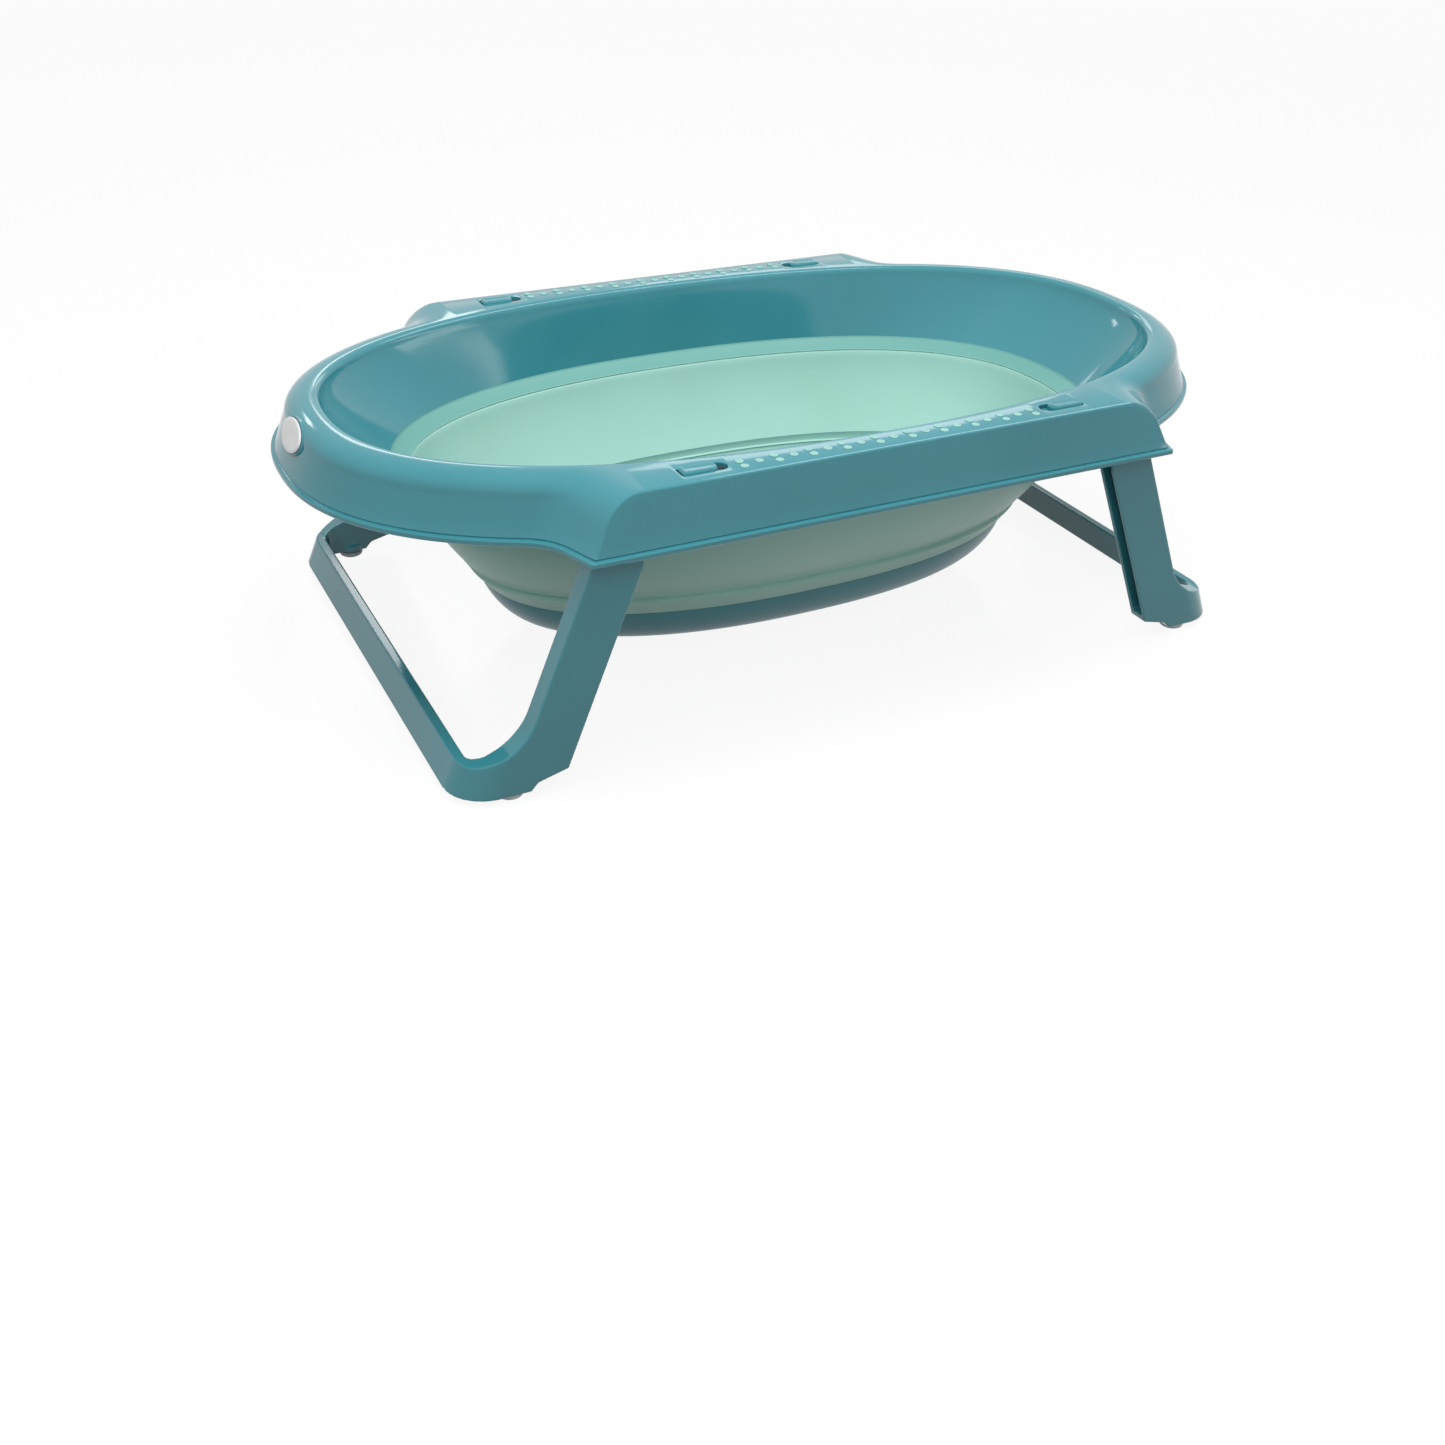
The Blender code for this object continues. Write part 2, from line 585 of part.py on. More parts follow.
def leg_outline():
    """Side view of a leg frame as (u, v): hub, outer edge, flare, foot with its step, inner edge."""
    turns = [math.pi * i / 12 for i in range(13)]
    points = [(SHOULDER, LEG_BACK)]
    points += [(-HUB_RADIUS * math.sin(t), -HUB_RADIUS * math.cos(t)) for t in turns]
    points.append((SHOULDER, LEG_FRONT))

    edge_x, edge_z = crossbar_edge()
    flare_u, flare_v = leg_place(edge_x - CROSSBAR_THICK, edge_z)
    corner_u = flare_u - (flare_v - LEG_FRONT) / math.tan(FLARE_ANGLE)
    start_u = corner_u - FLARE_ROUND * math.tan(FLARE_ANGLE / 2)
    for t in (FLARE_ANGLE * i / 6 for i in range(7)):
        points.append((start_u + FLARE_ROUND * math.sin(t), LEG_FRONT + FLARE_ROUND * (1 - math.cos(t))))
    points += [(flare_u, flare_v), leg_place(edge_x, edge_z)]
    points.append((down_to(PAD_HEIGHT, CROSSBAR_OUT), CROSSBAR_OUT))

    contact_x = foot_edge() - FOOT_CONTACT
    points += [leg_place(contact_x, PAD_HEIGHT)]
    points += [leg_place(contact_x - FOOT_STEP_RUN, PAD_HEIGHT + FOOT_STEP)]
    points.append((down_to(PAD_HEIGHT + HEEL_LIFT, LEG_BACK), LEG_BACK))
    return points


def frame_plan(outer, half, corner):
    """Plan of a leg frame or of its window, out by y: open inward, two round corners outward."""
    back = outer - DEEP
    quarter = math.pi / 2
    plan = [(back, -half)] + arc(outer - corner, -half + corner, corner, -quarter, 0, 6)
    return plan + arc(outer - corner, half - corner, corner, 0, quarter, 6) + [(back, half)]


def make_leg_frame(name, end, finish, pivot):
    """Leg frame: two channel legs and a crossbar in one moulding, open towards the tub's middle."""
    wide = LEG_OUTER + WALL
    side_view = prism(leg_outline(), -wide, wide, lambda u, v, y: leg_point(end, u, v, y))
    frame = add(name, side_view, finish, pivot, world_place(pivot))

    def plan_place(v, y, u):
        return leg_point(end, u, v, y)

    body = prism(frame_plan(CROSSBAR_OUT, LEG_OUTER, FRAME_CORNER), -DEEP, DEEP, plan_place)
    boolean(frame, name + "_corners", body, "INTERSECT")
    inner = crossbar_edge()[0] - CROSSBAR_THICK
    window_plan = [(end * x, y) for x, y in frame_plan(inner, LEG_INNER, FRAME_CORNER_INNER)]
    window = prism(window_plan, -DEEP, DEEP, along_z)

    cuts, bores = [window], []
    heel_u = down_to(PAD_HEIGHT + HEEL_LIFT, LEG_BACK)
    for side in (-1, 1):
        middle = side * (LEG_INNER + LEG_OUTER) / 2
        reach = LEG_WIDTH
        channel = rectangle(LEG_FRONT - LEG_WALL - reach / 2, middle, reach, LEG_THICK - 2 * LEG_WALL)
        cuts.append(prism(channel, HUB_RADIUS + LEG_WALL, heel_u - FOOT_STEP, plan_place))
        bore = circle(end * PIVOT[0], PIVOT[1], PIN_RADIUS + RUN)
        bores.append(prism(bore, side * (LEG_INNER - WALL), side * (LEG_OUTER + WALL), along_y))
    boolean(frame, name + "_window", merged(cuts), "DIFFERENCE")
    boolean(frame, name + "_bores", merged(bores), "DIFFERENCE")
    bosses = []
    for side in (-1, 1):
        boss = pin_circle(*pad_place(end, side), PAD_RADIUS)
        bosses.append(prism(boss, PAD_HEIGHT, PAD_HEIGHT + FOOT_STEP, along_z))
    boolean(frame, name + "_bosses", merged(bosses), "UNION")


def pad_place(end, side):
    """Centre of a pad, and of the round boss above it."""
    return end * (foot_edge() - PAD_INSET), side * (LEG_OUTER - PAD_RADIUS - LEG_WALL / 2)


def make_pad(name, end, side, finish, pivot):
    """Round anti-slip pad under a foot."""
    x, y = pad_place(end, side)
    rings = [(PAD_RADIUS * 0.85, 0), (PAD_RADIUS, PAD_HEIGHT * 0.4), (PAD_RADIUS, PAD_HEIGHT - GAP)]
    turned = [[Vector((px, py, z)) for px, py in pin_circle(x, y, r)] for r, z in rings]
    add(name, loft(turned, False), finish, pivot, world_place(pivot))


def make_pin(name, end, side, finish):
    """Hinge pin through ear, leg and boss."""
    start = side * (LEG_INNER - EAR_SPACE - EAR_THICK)
    stop = side * (LEG_OUTER + EAR_SPACE + PIN_RADIUS - GAP)
    outline = pin_circle(end * PIVOT[0], PIVOT[1], PIN_RADIUS)
    add(name, prism(outline, start, stop, along_y), finish)


def make_lock(name, end, side, finish, slide):
    """Thumb lock: slide plate and tongue under the deck, dished tab through the slot."""
    top = DECK_HEIGHT - WALL - GAP
    low = top - SLIDE_HEIGHT
    inner, outer = SLIDE_END, LOCK_X + TAB_LENGTH / 2 + SLIDE_MARGIN
    half, tongue = TAB_WIDTH / 2 + SLIDE_MARGIN, TONGUE_WIDTH / 2
    right = [(inner, -half), (outer, -half), (outer, -tongue), (outer + TONGUE_LENGTH, -tongue)]
    plate = [(end * x, side * LOCK_Y + y) for x, y in right + [(x, -y) for x, y in reversed(right)]]
    lock = add(name, prism(plate, low, top, along_z), finish, slide, world_place(slide))
    tab = pill(end * LOCK_X, side * LOCK_Y, TAB_LENGTH, TAB_WIDTH)
    shape = prism(tab, low + SLIDE_HEIGHT / 2, DECK_HEIGHT + TAB_PROUD, along_z)
    boolean(lock, name + "_tab", shape, "UNION")
    hollow = pill(end * LOCK_X, side * LOCK_Y, TAB_LENGTH - 2 * KEEPER, TAB_WIDTH - 2 * KEEPER)
    ceiling = DECK_HEIGHT + TAB_PROUD
    boolean(lock, name + "_dish", prism(hollow, ceiling - TAB_DISH, ceiling + WALL, along_z), "DIFFERENCE")


def make_lock_spring(name, end, side, finish):
    """Zigzag leaf spring between a lock's slide plate and its stop."""
    high = DECK_HEIGHT - WALL - 2 * GAP
    near, far = STOP_X + KEEPER + GAP, SLIDE_END - GAP
    steep = 2 * SPRING_SWING / ((far - near) / SPRING_LEAVES)
    across = SPRING_LEAF * math.hypot(1, steep) / 2
    middle = []
    for i in range(SPRING_LEAVES + 1):
        x = near + (far - near) * i / SPRING_LEAVES
        middle.append((end * x, side * LOCK_Y + (SPRING_SWING if i % 2 else -SPRING_SWING)))
    front = [(x, y - across) for x, y in middle]
    back = [(x, y + across) for x, y in reversed(middle)]
    add(name, prism(front + back, high - SLIDE_HEIGHT + 2 * GAP, high, along_z), finish)


def badge_shape(margin, low, high):
    """Oval prism square to the badge's seat on the left end, with heights above the seat."""
    turns = [2 * math.pi * (i + 0.5) / 28 for i in range(28)]
    half_width, half_height = BADGE_WIDTH / 2 + margin, BADGE_HEIGHT / 2 + margin
    outline = [(half_width * math.cos(t), half_height * math.sin(t)) for t in turns]
    normal = Vector((-math.cos(BADGE_TILT), 0, math.sin(BADGE_TILT)))
    up = Vector((math.sin(BADGE_TILT), 0, math.cos(BADGE_TILT)))
    skirt = Vector((-CREST_LENGTH - SKIRT_ROUND, 0, DECK_HEIGHT - SKIRT_ROUND_DROP))
    seat = skirt + normal * SEAT_PROUD

    def place(p, q, h):
        return seat + Vector((0, p, 0)) + up * q + normal * h

    return prism(outline, low, high, place)


def make_badge(finish):
    """Blank oval badge on its seat."""
    add("badge_plate", badge_shape(0, GAP, GAP + BADGE_THICK), finish)


def main():
    for obj in list(bpy.data.objects):
        bpy.data.objects.remove(obj, do_unlink=True)
    teal = material("teal polypropylene", (0.085, 0.275, 0.320), 0.25)
    mint = material("mint soft rubber", (0.380, 0.680, 0.580), 0.45)
    white = material("white plastic", (0.800, 0.810, 0.800), 0.35)
    steel = material("spring steel", (0.550, 0.560, 0.570), 0.30)

    make_rim(teal)
    make_soft_wall(mint)
    make_badge(white)
    base_slide = empty("base_slide", (0, 0, DECK_HEIGHT - BASE_DROP))
    make_base(teal, base_slide)
    plug_slide = empty("plug_slide", (DRAIN_X, 0, DECK_HEIGHT - BASE_DROP - BASE_DEPTH), base_slide)
    make_plug(mint, plug_slide)

    for end, end_name in ((-1, "left"), (1, "right")):
        pivot = empty(end_name + "_leg_pivot", (end * PIVOT[0], 0, PIVOT[1]))
        make_leg_frame(end_name + "_leg_frame", end, teal, pivot)
        for side, side_name in ((-1, "front"), (1, "rear")):
            place = f"{end_name}_{side_name}"
            make_pad("foot_pad_" + place, end, side, white, pivot)
            make_pin("hinge_pin_" + place, end, side, steel)
            lock_slide = empty("lock_slide_" + place, (end * LOCK_X, side * LOCK_Y, DECK_HEIGHT))
            make_lock("thumb_lock_" + place, end, side, teal, lock_slide)
            make_lock_spring("lock_spring_" + place, end, side, steel)
    for side, side_name in ((-1, "front"), (1, "rear")):
        make_grip_strip("grip_strip_" + side_name, side, mint)


main()
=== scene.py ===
# %% [markdown]
# # Folding baby bathtub
#
# A bathtub for a baby, moulded in glossy teal plastic, with a soft mint wall that turns over when
# the tub is folded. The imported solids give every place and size. This lesson models the surfaces
# that the eye sees around them, one piece per cell, and hangs each piece on the body that carries it.

# %% Load the frame
import math

import bmesh
import bpy
from mathutils import Matrix, Vector


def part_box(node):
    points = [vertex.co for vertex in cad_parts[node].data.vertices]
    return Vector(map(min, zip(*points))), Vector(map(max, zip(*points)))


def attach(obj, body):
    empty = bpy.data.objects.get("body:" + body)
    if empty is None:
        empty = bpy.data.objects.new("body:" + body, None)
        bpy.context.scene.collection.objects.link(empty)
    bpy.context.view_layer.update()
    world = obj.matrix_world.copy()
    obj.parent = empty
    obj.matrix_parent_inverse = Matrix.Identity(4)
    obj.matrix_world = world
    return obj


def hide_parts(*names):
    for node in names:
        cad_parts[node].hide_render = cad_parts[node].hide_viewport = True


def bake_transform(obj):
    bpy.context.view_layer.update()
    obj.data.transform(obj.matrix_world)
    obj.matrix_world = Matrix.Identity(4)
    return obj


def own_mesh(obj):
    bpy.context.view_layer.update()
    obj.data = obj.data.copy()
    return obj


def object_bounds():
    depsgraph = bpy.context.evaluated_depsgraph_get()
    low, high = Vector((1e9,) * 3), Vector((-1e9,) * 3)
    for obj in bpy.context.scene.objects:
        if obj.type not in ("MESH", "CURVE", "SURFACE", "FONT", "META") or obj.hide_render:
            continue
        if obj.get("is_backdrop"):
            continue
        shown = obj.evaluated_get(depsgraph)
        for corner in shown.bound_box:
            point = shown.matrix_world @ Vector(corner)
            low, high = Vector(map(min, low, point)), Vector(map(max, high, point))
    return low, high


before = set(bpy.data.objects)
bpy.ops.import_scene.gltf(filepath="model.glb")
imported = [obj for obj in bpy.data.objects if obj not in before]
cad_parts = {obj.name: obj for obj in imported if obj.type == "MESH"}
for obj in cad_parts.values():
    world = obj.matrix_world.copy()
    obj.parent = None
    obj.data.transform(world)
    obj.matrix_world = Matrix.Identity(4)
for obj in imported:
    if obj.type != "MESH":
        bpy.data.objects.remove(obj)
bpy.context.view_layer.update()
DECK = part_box("rim_frame")[1].z
LEFT, RIGHT, FRONT, REAR = -1, 1, -1, 1
ENDS = ((LEFT, "left"), (RIGHT, "right"))
SIDES = ((FRONT, "front"), (REAR, "rear"))


# %% [markdown]
# ## Finishes
#
# The tub has few materials: polypropylene that was moulded glossy, a thermoplastic rubber with a
# satin face, white plastic and rubber, and steel. Colours are written as they look in an image and
# turned to linear once. One helper adds a node with its settings and links, so that a material reads
# as a list of what it is made of.

# %% Colour and node helpers
def srgb(code):
    """A colour written #rrggbb as the linear values that a shader takes."""
    parts = [int(code[i : i + 2], 16) / 255 for i in (1, 3, 5)]
    return [p / 12.92 if p <= 0.04045 else ((p + 0.055) / 1.055) ** 2.4 for p in parts] + [1]


def add_node(tree, kind, values=None, links=None, **settings):
    """Adds a node, sets its fields and sockets, and links its sockets to other nodes' outputs."""
    made = tree.nodes.new(kind)
    for name, value in settings.items():
        setattr(made, name, value)
    for name, value in (values or {}).items():
        made.inputs[name].default_value = value
    for name, source in (links or {}).items():
        tree.links.new(source, made.inputs[name])
    return made


def per_mm(size):
    """Texture scale for a pattern of that size in millimetres, on coordinates in metres."""
    return 1000 / size


# %% [markdown]
# Moulded plastic is never one flat colour. The melt leaves broad, faint flow clouds, the tool leaves
# a fine grain that softens reflections, and the gloss changes a little from place to place. All
# three are noises on Object coordinates, at sizes given in millimetres.

# %% A moulded finish
def moulded(name, light, dark, gloss, cloud_mm, grain_mm, grain_depth, ior=1.49):
    """Moulded plastic or rubber: flow clouds in its colour, uneven gloss and a fine grain."""
    made = bpy.data.materials.new(name)
    made.use_nodes = True
    tree = made.node_tree
    shader = tree.nodes["Principled BSDF"]
    place = add_node(tree, "ShaderNodeTexCoord").outputs["Object"]
    broad = {"Scale": per_mm(cloud_mm), "Detail": 3.0, "Roughness": 0.5}
    cloud = add_node(tree, "ShaderNodeTexNoise", broad, {"Vector": place})
    colour = add_node(tree, "ShaderNodeValToRGB", links={"Fac": cloud.outputs["Fac"]})
    for stop, at, code in zip(colour.color_ramp.elements, (0.35, 0.65), (dark, light)):
        stop.position = at
        stop.color = srgb(code)
    tree.links.new(colour.outputs["Color"], shader.inputs["Base Color"])
    uneven = {"From Min": 0.3, "From Max": 0.7, "To Min": gloss * 0.88, "To Max": gloss * 1.12}
    rough = add_node(tree, "ShaderNodeMapRange", uneven, {"Value": cloud.outputs["Fac"]})
    tree.links.new(rough.outputs["Result"], shader.inputs["Roughness"])
    fine = {"Scale": per_mm(grain_mm), "Detail": 2.0}
    grain = add_node(tree, "ShaderNodeTexNoise", fine, {"Vector": place})
    relief = {"Strength": 0.25, "Distance": grain_depth / 1000}
    bump = add_node(tree, "ShaderNodeBump", relief, {"Height": grain.outputs["Fac"]})
    tree.links.new(bump.outputs["Normal"], shader.inputs["Normal"])
    shader.inputs["IOR"].default_value = ior
    return made


# Polypropylene from a polished tool: clear reflections with soft edges
teal_gloss = moulded("teal polypropylene", "#3a8590", "#36818b", 0.095, 140, 5.0, 0.010)
# The same plastic from a plainer tool, as on the base and on the ribs under the deck
teal_satin = moulded("teal polypropylene, satin", "#2f7d87", "#2b7882", 0.32, 90, 1.4, 0.02)
# Thermoplastic rubber: a dull bloom over a soft colour
mint_rubber = moulded("mint thermoplastic rubber", "#9bc7bc", "#96c3b7", 0.42, 110, 1.1, 0.03)
dot_rubber = moulded("pale mint rubber", "#88b8b2", "#81b1ab", 0.36, 9, 0.8, 0.02)
white_plastic = moulded("white plastic", "#d3d5d4", "#cbcdcc", 0.28, 30, 1.0, 0.01)
white_rubber = moulded("white rubber", "#c6cac9", "#bec3c2", 0.55, 12, 0.7, 0.03)
spring_steel = moulded("blackened spring steel", "#43474a", "#3b3f42", 0.36, 3, 0.4, 0.01)
steel = spring_steel.node_tree.nodes["Principled BSDF"]
steel.inputs["Metallic"].default_value = 1.0
steel.inputs["IOR"].default_value = 1.5
print("finishes:", ", ".join(m.name for m in bpy.data.materials if m.use_nodes))

# %% [markdown]
# The band of rubber just under the rim's hem, down to the ledge's edge, is painted a deeper mint: painted
# shade, standing in for the darker tone of the ledge under the rim. An attribute of the mesh says where that
# is, so the border falls exactly on the ledge's edge.

# %% Painted shade on the ledge
tree = mint_rubber.node_tree
ledge_shade_mask = add_node(tree, "ShaderNodeAttribute", attribute_name="painted_ledge_shade")
share_and_plain = {0: ledge_shade_mask.outputs["Fac"], 6: tree.nodes["Color Ramp"].outputs["Color"]}
# painted shade: a deeper mint mixed in on the ledge band under the rim's hem
painted_shade_colour = add_node(tree, "ShaderNodeMix", {7: srgb("#66a098")}, share_and_plain, data_type="RGBA")
tree.links.new(painted_shade_colour.outputs[2], tree.nodes["Principled BSDF"].inputs["Base Color"])
print("bonded rubber mixes in", ledge_shade_mask.attribute_name)


# %% [markdown]
# ## Modelling by hand, in code
#
# Nearly everything here is a ring that grows: a circle is added, its points are set on an outline,
# and it is extruded once for every next outline. The points carry their station number, and an
# extrusion hands it on, so each new point knows where it belongs.

# %% Ring and outline helpers
def start_circle(name, count, fill):
    """A new circle as the only selected object, in object mode."""
    bpy.ops.object.select_all(action="DESELECT")
    bpy.ops.mesh.primitive_circle_add(vertices=count, fill_type=fill)
    piece = bpy.context.object
    piece.name = piece.data.name = name
    return piece


def tidy_mesh(merge=1e-6):
    """In edit mode: merges what meets, closes what is open and turns the faces outwards."""
    bpy.ops.mesh.select_all(action="SELECT")
    bpy.ops.mesh.remove_doubles(threshold=merge)
    bpy.ops.mesh.fill_holes(sides=0)
    bpy.ops.mesh.select_all(action="SELECT")
    bpy.ops.mesh.normals_make_consistent(inside=False)


def grow_rings(name, rings, closed):
    """A ring extruded from outline to outline; closed joins the last outline to the first."""
    piece = start_circle(name, len(rings[0]), "NOTHING")
    station = piece.data.attributes.new("station", "INT", "POINT")
    station.data.foreach_set("value", range(len(rings[0])))
    for vertex, point in zip(piece.data.vertices, rings[0]):
        vertex.co = point
    bpy.ops.object.mode_set(mode="EDIT")
    bpy.ops.mesh.select_mode(type="VERT")
    bpy.ops.mesh.select_all(action="SELECT")
    for ring in rings[1:] + (rings[:1] if closed else []):
        bpy.ops.mesh.extrude_edges_move()
        mesh = bmesh.from_edit_mesh(piece.data)
        layer = mesh.verts.layers.int["station"]
        for vertex in mesh.verts:
            if vertex.select:
                vertex.co = ring[vertex[layer]]
        bmesh.update_edit_mesh(piece.data)
    tidy_mesh()
    bpy.ops.object.mode_set(mode="OBJECT")
    piece.data.attributes.remove(piece.data.attributes["station"])
    return piece


def turn_profile(name, x, y, z, profile, count):
    """A round piece about an upright axis, grown from rings given as (radius, rise)."""
    last = 360 - 360 / count
    rings = [
        [Vector((px, py, z + rise)) for px, py in arc(x, y, radius, 0, last, count - 1)]
        for radius, rise in profile
    ]
    return grow_rings(name, rings, False)


def extrude_outline(name, points, lift):
    """A flat outline, extruded into a solid."""
    piece = start_circle(name, len(points), "NGON")
    for vertex, point in zip(piece.data.vertices, points):
        vertex.co = point
    bpy.ops.object.mode_set(mode="EDIT")
    bpy.ops.mesh.select_all(action="SELECT")
    bpy.ops.mesh.extrude_region_move(TRANSFORM_OT_translate={"value": Vector(lift)})
    tidy_mesh()
    bpy.ops.object.mode_set(mode="OBJECT")
    return piece


def make_active(piece):
    """Selects one object alone, for the operators that follow."""
    bpy.ops.object.select_all(action="DESELECT")
    bpy.context.view_layer.objects.active = piece
    piece.select_set(True)


def modify(piece, kind, **settings):
    """Adds a modifier with its settings and applies it."""
    make_active(piece)
    step = piece.modifiers.new(kind.lower(), kind)
    for name, value in settings.items():
        setattr(step, name, value)
    bpy.ops.object.modifier_apply(modifier=step.name)
    return piece


def carve(piece, helper, operation="DIFFERENCE"):
    """Cuts a helper out of a piece, joins it on, or keeps what both share; the helper is used up."""
    modify(piece, "BOOLEAN", operation=operation, object=helper)
    bpy.data.objects.remove(helper, do_unlink=True)
    return piece


def join_pieces(name, pieces):
    """Several meshes as one object."""
    make_active(pieces[0])
    for piece in pieces:
        piece.select_set(True)
    bpy.ops.object.join()
    pieces[0].name = pieces[0].data.name = name
    return pieces[0]


def soften_edges(piece, width, segments=3, angle=35):
    """Rounds the sharp edges, as every moulded edge is."""
    modify(
        piece,
        "BEVEL",
        width=width,
        segments=segments,
        limit_method="ANGLE",
        angle_limit=math.radians(angle),
        use_clamp_overlap=True,
    )
    return piece


def shade(piece, angle=32):
    """Smooth shading, except across real edges."""
    make_active(piece)
    bpy.ops.object.shade_smooth_by_angle(angle=math.radians(angle))
    return piece


def settle(piece, finish, slot, body, *nodes):
    """Gives a finished piece its material, its body and the nodes that it stands for."""
    piece.data.materials.clear()
    piece.data.materials.append(finish)
    if body:
        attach(piece, body)
    if nodes:
        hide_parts(*nodes)
    triangles = sum(len(face.vertices) - 2 for face in piece.data.polygons)
    print(f"{piece.name}: {triangles} triangles, {slot}, on {body or 'two bodies'}")
    return piece


def arc(x, y, radius, start, end, steps):
    """Points of an arc, angles in degrees."""
    turns = [math.radians(start + (end - start) * i / steps) for i in range(steps + 1)]
    return [(x + radius * math.cos(t), y + radius * math.sin(t)) for t in turns]


def oval_quarter(length, width, power, shares):
    """Quarter of a squarish oval, from the middle of its side to its tip."""
    return [(length * s, width * max(0, 1 - s**power) ** (1 / power)) for s in shares]


def mirror_round(quarter, z):
    """A quarter outline, from x = 0 to y = 0, mirrored into a closed ring at a height."""
    ring = list(quarter)
    ring += [(x, -y) for x, y in reversed(quarter[:-1])]
    ring += [(-x, -y) for x, y in quarter[1:]]
    ring += [(-x, y) for x, y in reversed(quarter[1:-1])]
    return [Vector((x, y, z)) for x, y in ring]


# %% [markdown]
# ## Rim
#
# The rim is one moulding: an oval crest that rounds over into a skirt with a bead along its lip, two
# straight rails with a flat deck, and an inner wall that runs down to the soft wall. It could be
# carved from blocks, but its gloss shows every facet, so it is grown ring by ring: out of the lip, up
# the skirt, over the crest, down the inner wall and back underneath.

# %% Outlines of the rim
WALL = 0.003
CREST_LENGTH, CREST_WIDTH = 0.385, 0.203
CREST_FLAT, CREST_ROUND = 0.002, 0.006
SKIRT_ROUND, SKIRT_ROUND_DROP, SKIRT_DRAFT, SKIRT_DROP = 0.020, 0.015, 0.0085, 0.0435
LIP_HEIGHT = 0.004
HEM_LENGTH, HEM_WIDTH, HEM_DROP = 0.3225, 0.186, 0.0656
RIM_POWER, TUB_POWER, BOWL_POWER = 2.36, 2.3, 1.25
RAIL_LENGTH, RAIL_REACH, RAIL_DRAFT, RAIL_EDGE = 0.2365, 0.023, 0.009, 0.0016
RAIL_END_DRAFT, RAIL_END_ROUND, RAIL_BLEND, RAIL_CORNER = 0.0185, 0.034, 0.034, 0.0016
RAIL_STEPS, CORNER_STEPS, BLEND_STEPS, OVAL_STEPS = 14, 5, 18, 34
FLARE_IN, FLARE_RUN = 0.0007, 0.008


def skirt_spread(drop):
    """How far the skirt lies outside the crest, at a drop below the deck."""
    if drop < SKIRT_ROUND_DROP:
        return SKIRT_ROUND * math.sqrt(1 - (1 - drop / SKIRT_ROUND_DROP) ** 2)
    return SKIRT_ROUND + SKIRT_DRAFT * (drop - SKIRT_ROUND_DROP) / (SKIRT_DROP - SKIRT_ROUND_DROP)


def rail_end(drop):
    """Where the rail's outer face ends: a round at the deck, then a slope."""
    slope = RAIL_END_DRAFT / SKIRT_DROP
    turn = math.pi / 2 - math.atan(slope)
    if drop < RAIL_END_ROUND * (1 - math.cos(turn)):
        start = RAIL_LENGTH - RAIL_END_ROUND * math.tan(turn / 2)
        return start + math.sqrt(RAIL_END_ROUND**2 - (RAIL_END_ROUND - drop) ** 2)
    return RAIL_LENGTH + slope * drop


def rail_side(drop):
    """The rail's outer face, with its rounded upper edge."""
    edge = RAIL_EDGE * max(0, 1 - drop / RAIL_EDGE) ** 2
    return CREST_WIDTH + RAIL_REACH - edge + RAIL_DRAFT * drop / SKIRT_DROP


def bezier(a, b, c, d, t):
    """A point of a cubic curve."""
    return (1 - t) ** 3 * a + 3 * t * (1 - t) ** 2 * b + 3 * t**2 * (1 - t) * c + t**3 * d


def rim_quarter(drop, inset=0.0):
    """The rim's outline at a drop: rail, small corner, blend into the oval, oval to the tip."""
    end, side = rail_end(drop) - inset, rail_side(drop) - inset
    length, width = (size + skirt_spread(drop) - inset for size in (CREST_LENGTH, CREST_WIDTH))
    share = (end + RAIL_BLEND) / length
    (join_x, join_y), (next_x, next_y) = oval_quarter(length, width, RIM_POWER, (share, share + 0.01))
    start, join = Vector((end, side)), Vector((join_x, join_y))
    pull = (join - start).length * 0.45
    away = start + Vector((RAIL_BLEND * 0.64, join_y - side)).normalized() * pull
    towards = join - Vector((next_x - join_x, next_y - join_y)).normalized() * pull

    points = [((end - RAIL_CORNER) * i / RAIL_STEPS, side) for i in range(RAIL_STEPS)]
    turned = RAIL_CORNER / (3 * pull)
    before, after = Vector((end - RAIL_CORNER, side)), bezier(start, away, towards, join, turned)
    leave, arrive = before.lerp(start, 0.67), after.lerp(start, 0.67)
    for i in range(CORNER_STEPS + 1):
        points.append(bezier(before, leave, arrive, after, i / CORNER_STEPS)[:])
    for i in range(1, BLEND_STEPS + 1):
        points.append(bezier(start, away, towards, join, turned + (1 - turned) * i / BLEND_STEPS)[:])
    turn = math.acos(share ** (RIM_POWER / 2))
    for i in range(1, OVAL_STEPS + 1):
        angle = turn * (1 - i / OVAL_STEPS)
        points += oval_quarter(length, width, RIM_POWER, (math.cos(angle) ** (2 / RIM_POWER),))
    return points


def rim_ring(drop, inset=0.0, at=None):
    """A ring of the rim's outer side; at is its own drop where that differs from its outline's."""
    return mirror_round(rim_quarter(drop, inset), DECK - (drop if at is None else at))


RIM_SHARES = [x / CREST_LENGTH for x, y in rim_quarter(0.0)]


def bowl_ring(inset, drop):
    """A ring of the crest's inner side."""
    quarter = oval_quarter(CREST_LENGTH - inset, CREST_WIDTH - inset, RIM_POWER, RIM_SHARES)
    return mirror_round(quarter, DECK - drop)


def inner_wall_ring(share, outward):
    """A ring of the inner wall: share 0 under the crest, 1 at the hem."""
    top, bowl = CREST_FLAT + CREST_ROUND, share**BOWL_POWER
    length = (CREST_LENGTH - top) * (1 - bowl) + HEM_LENGTH * bowl + outward
    flare = FLARE_IN * (1 - share - math.exp(-share * (HEM_DROP - CREST_ROUND) / FLARE_RUN))
    width = (CREST_WIDTH - top) * (1 - share) + HEM_WIDTH * share + outward - flare
    power = RIM_POWER + (TUB_POWER - RIM_POWER) * share
    quarter = oval_quarter(length, width, power, RIM_SHARES)
    return mirror_round(quarter, DECK - CREST_ROUND * (1 - share) - HEM_DROP * share)


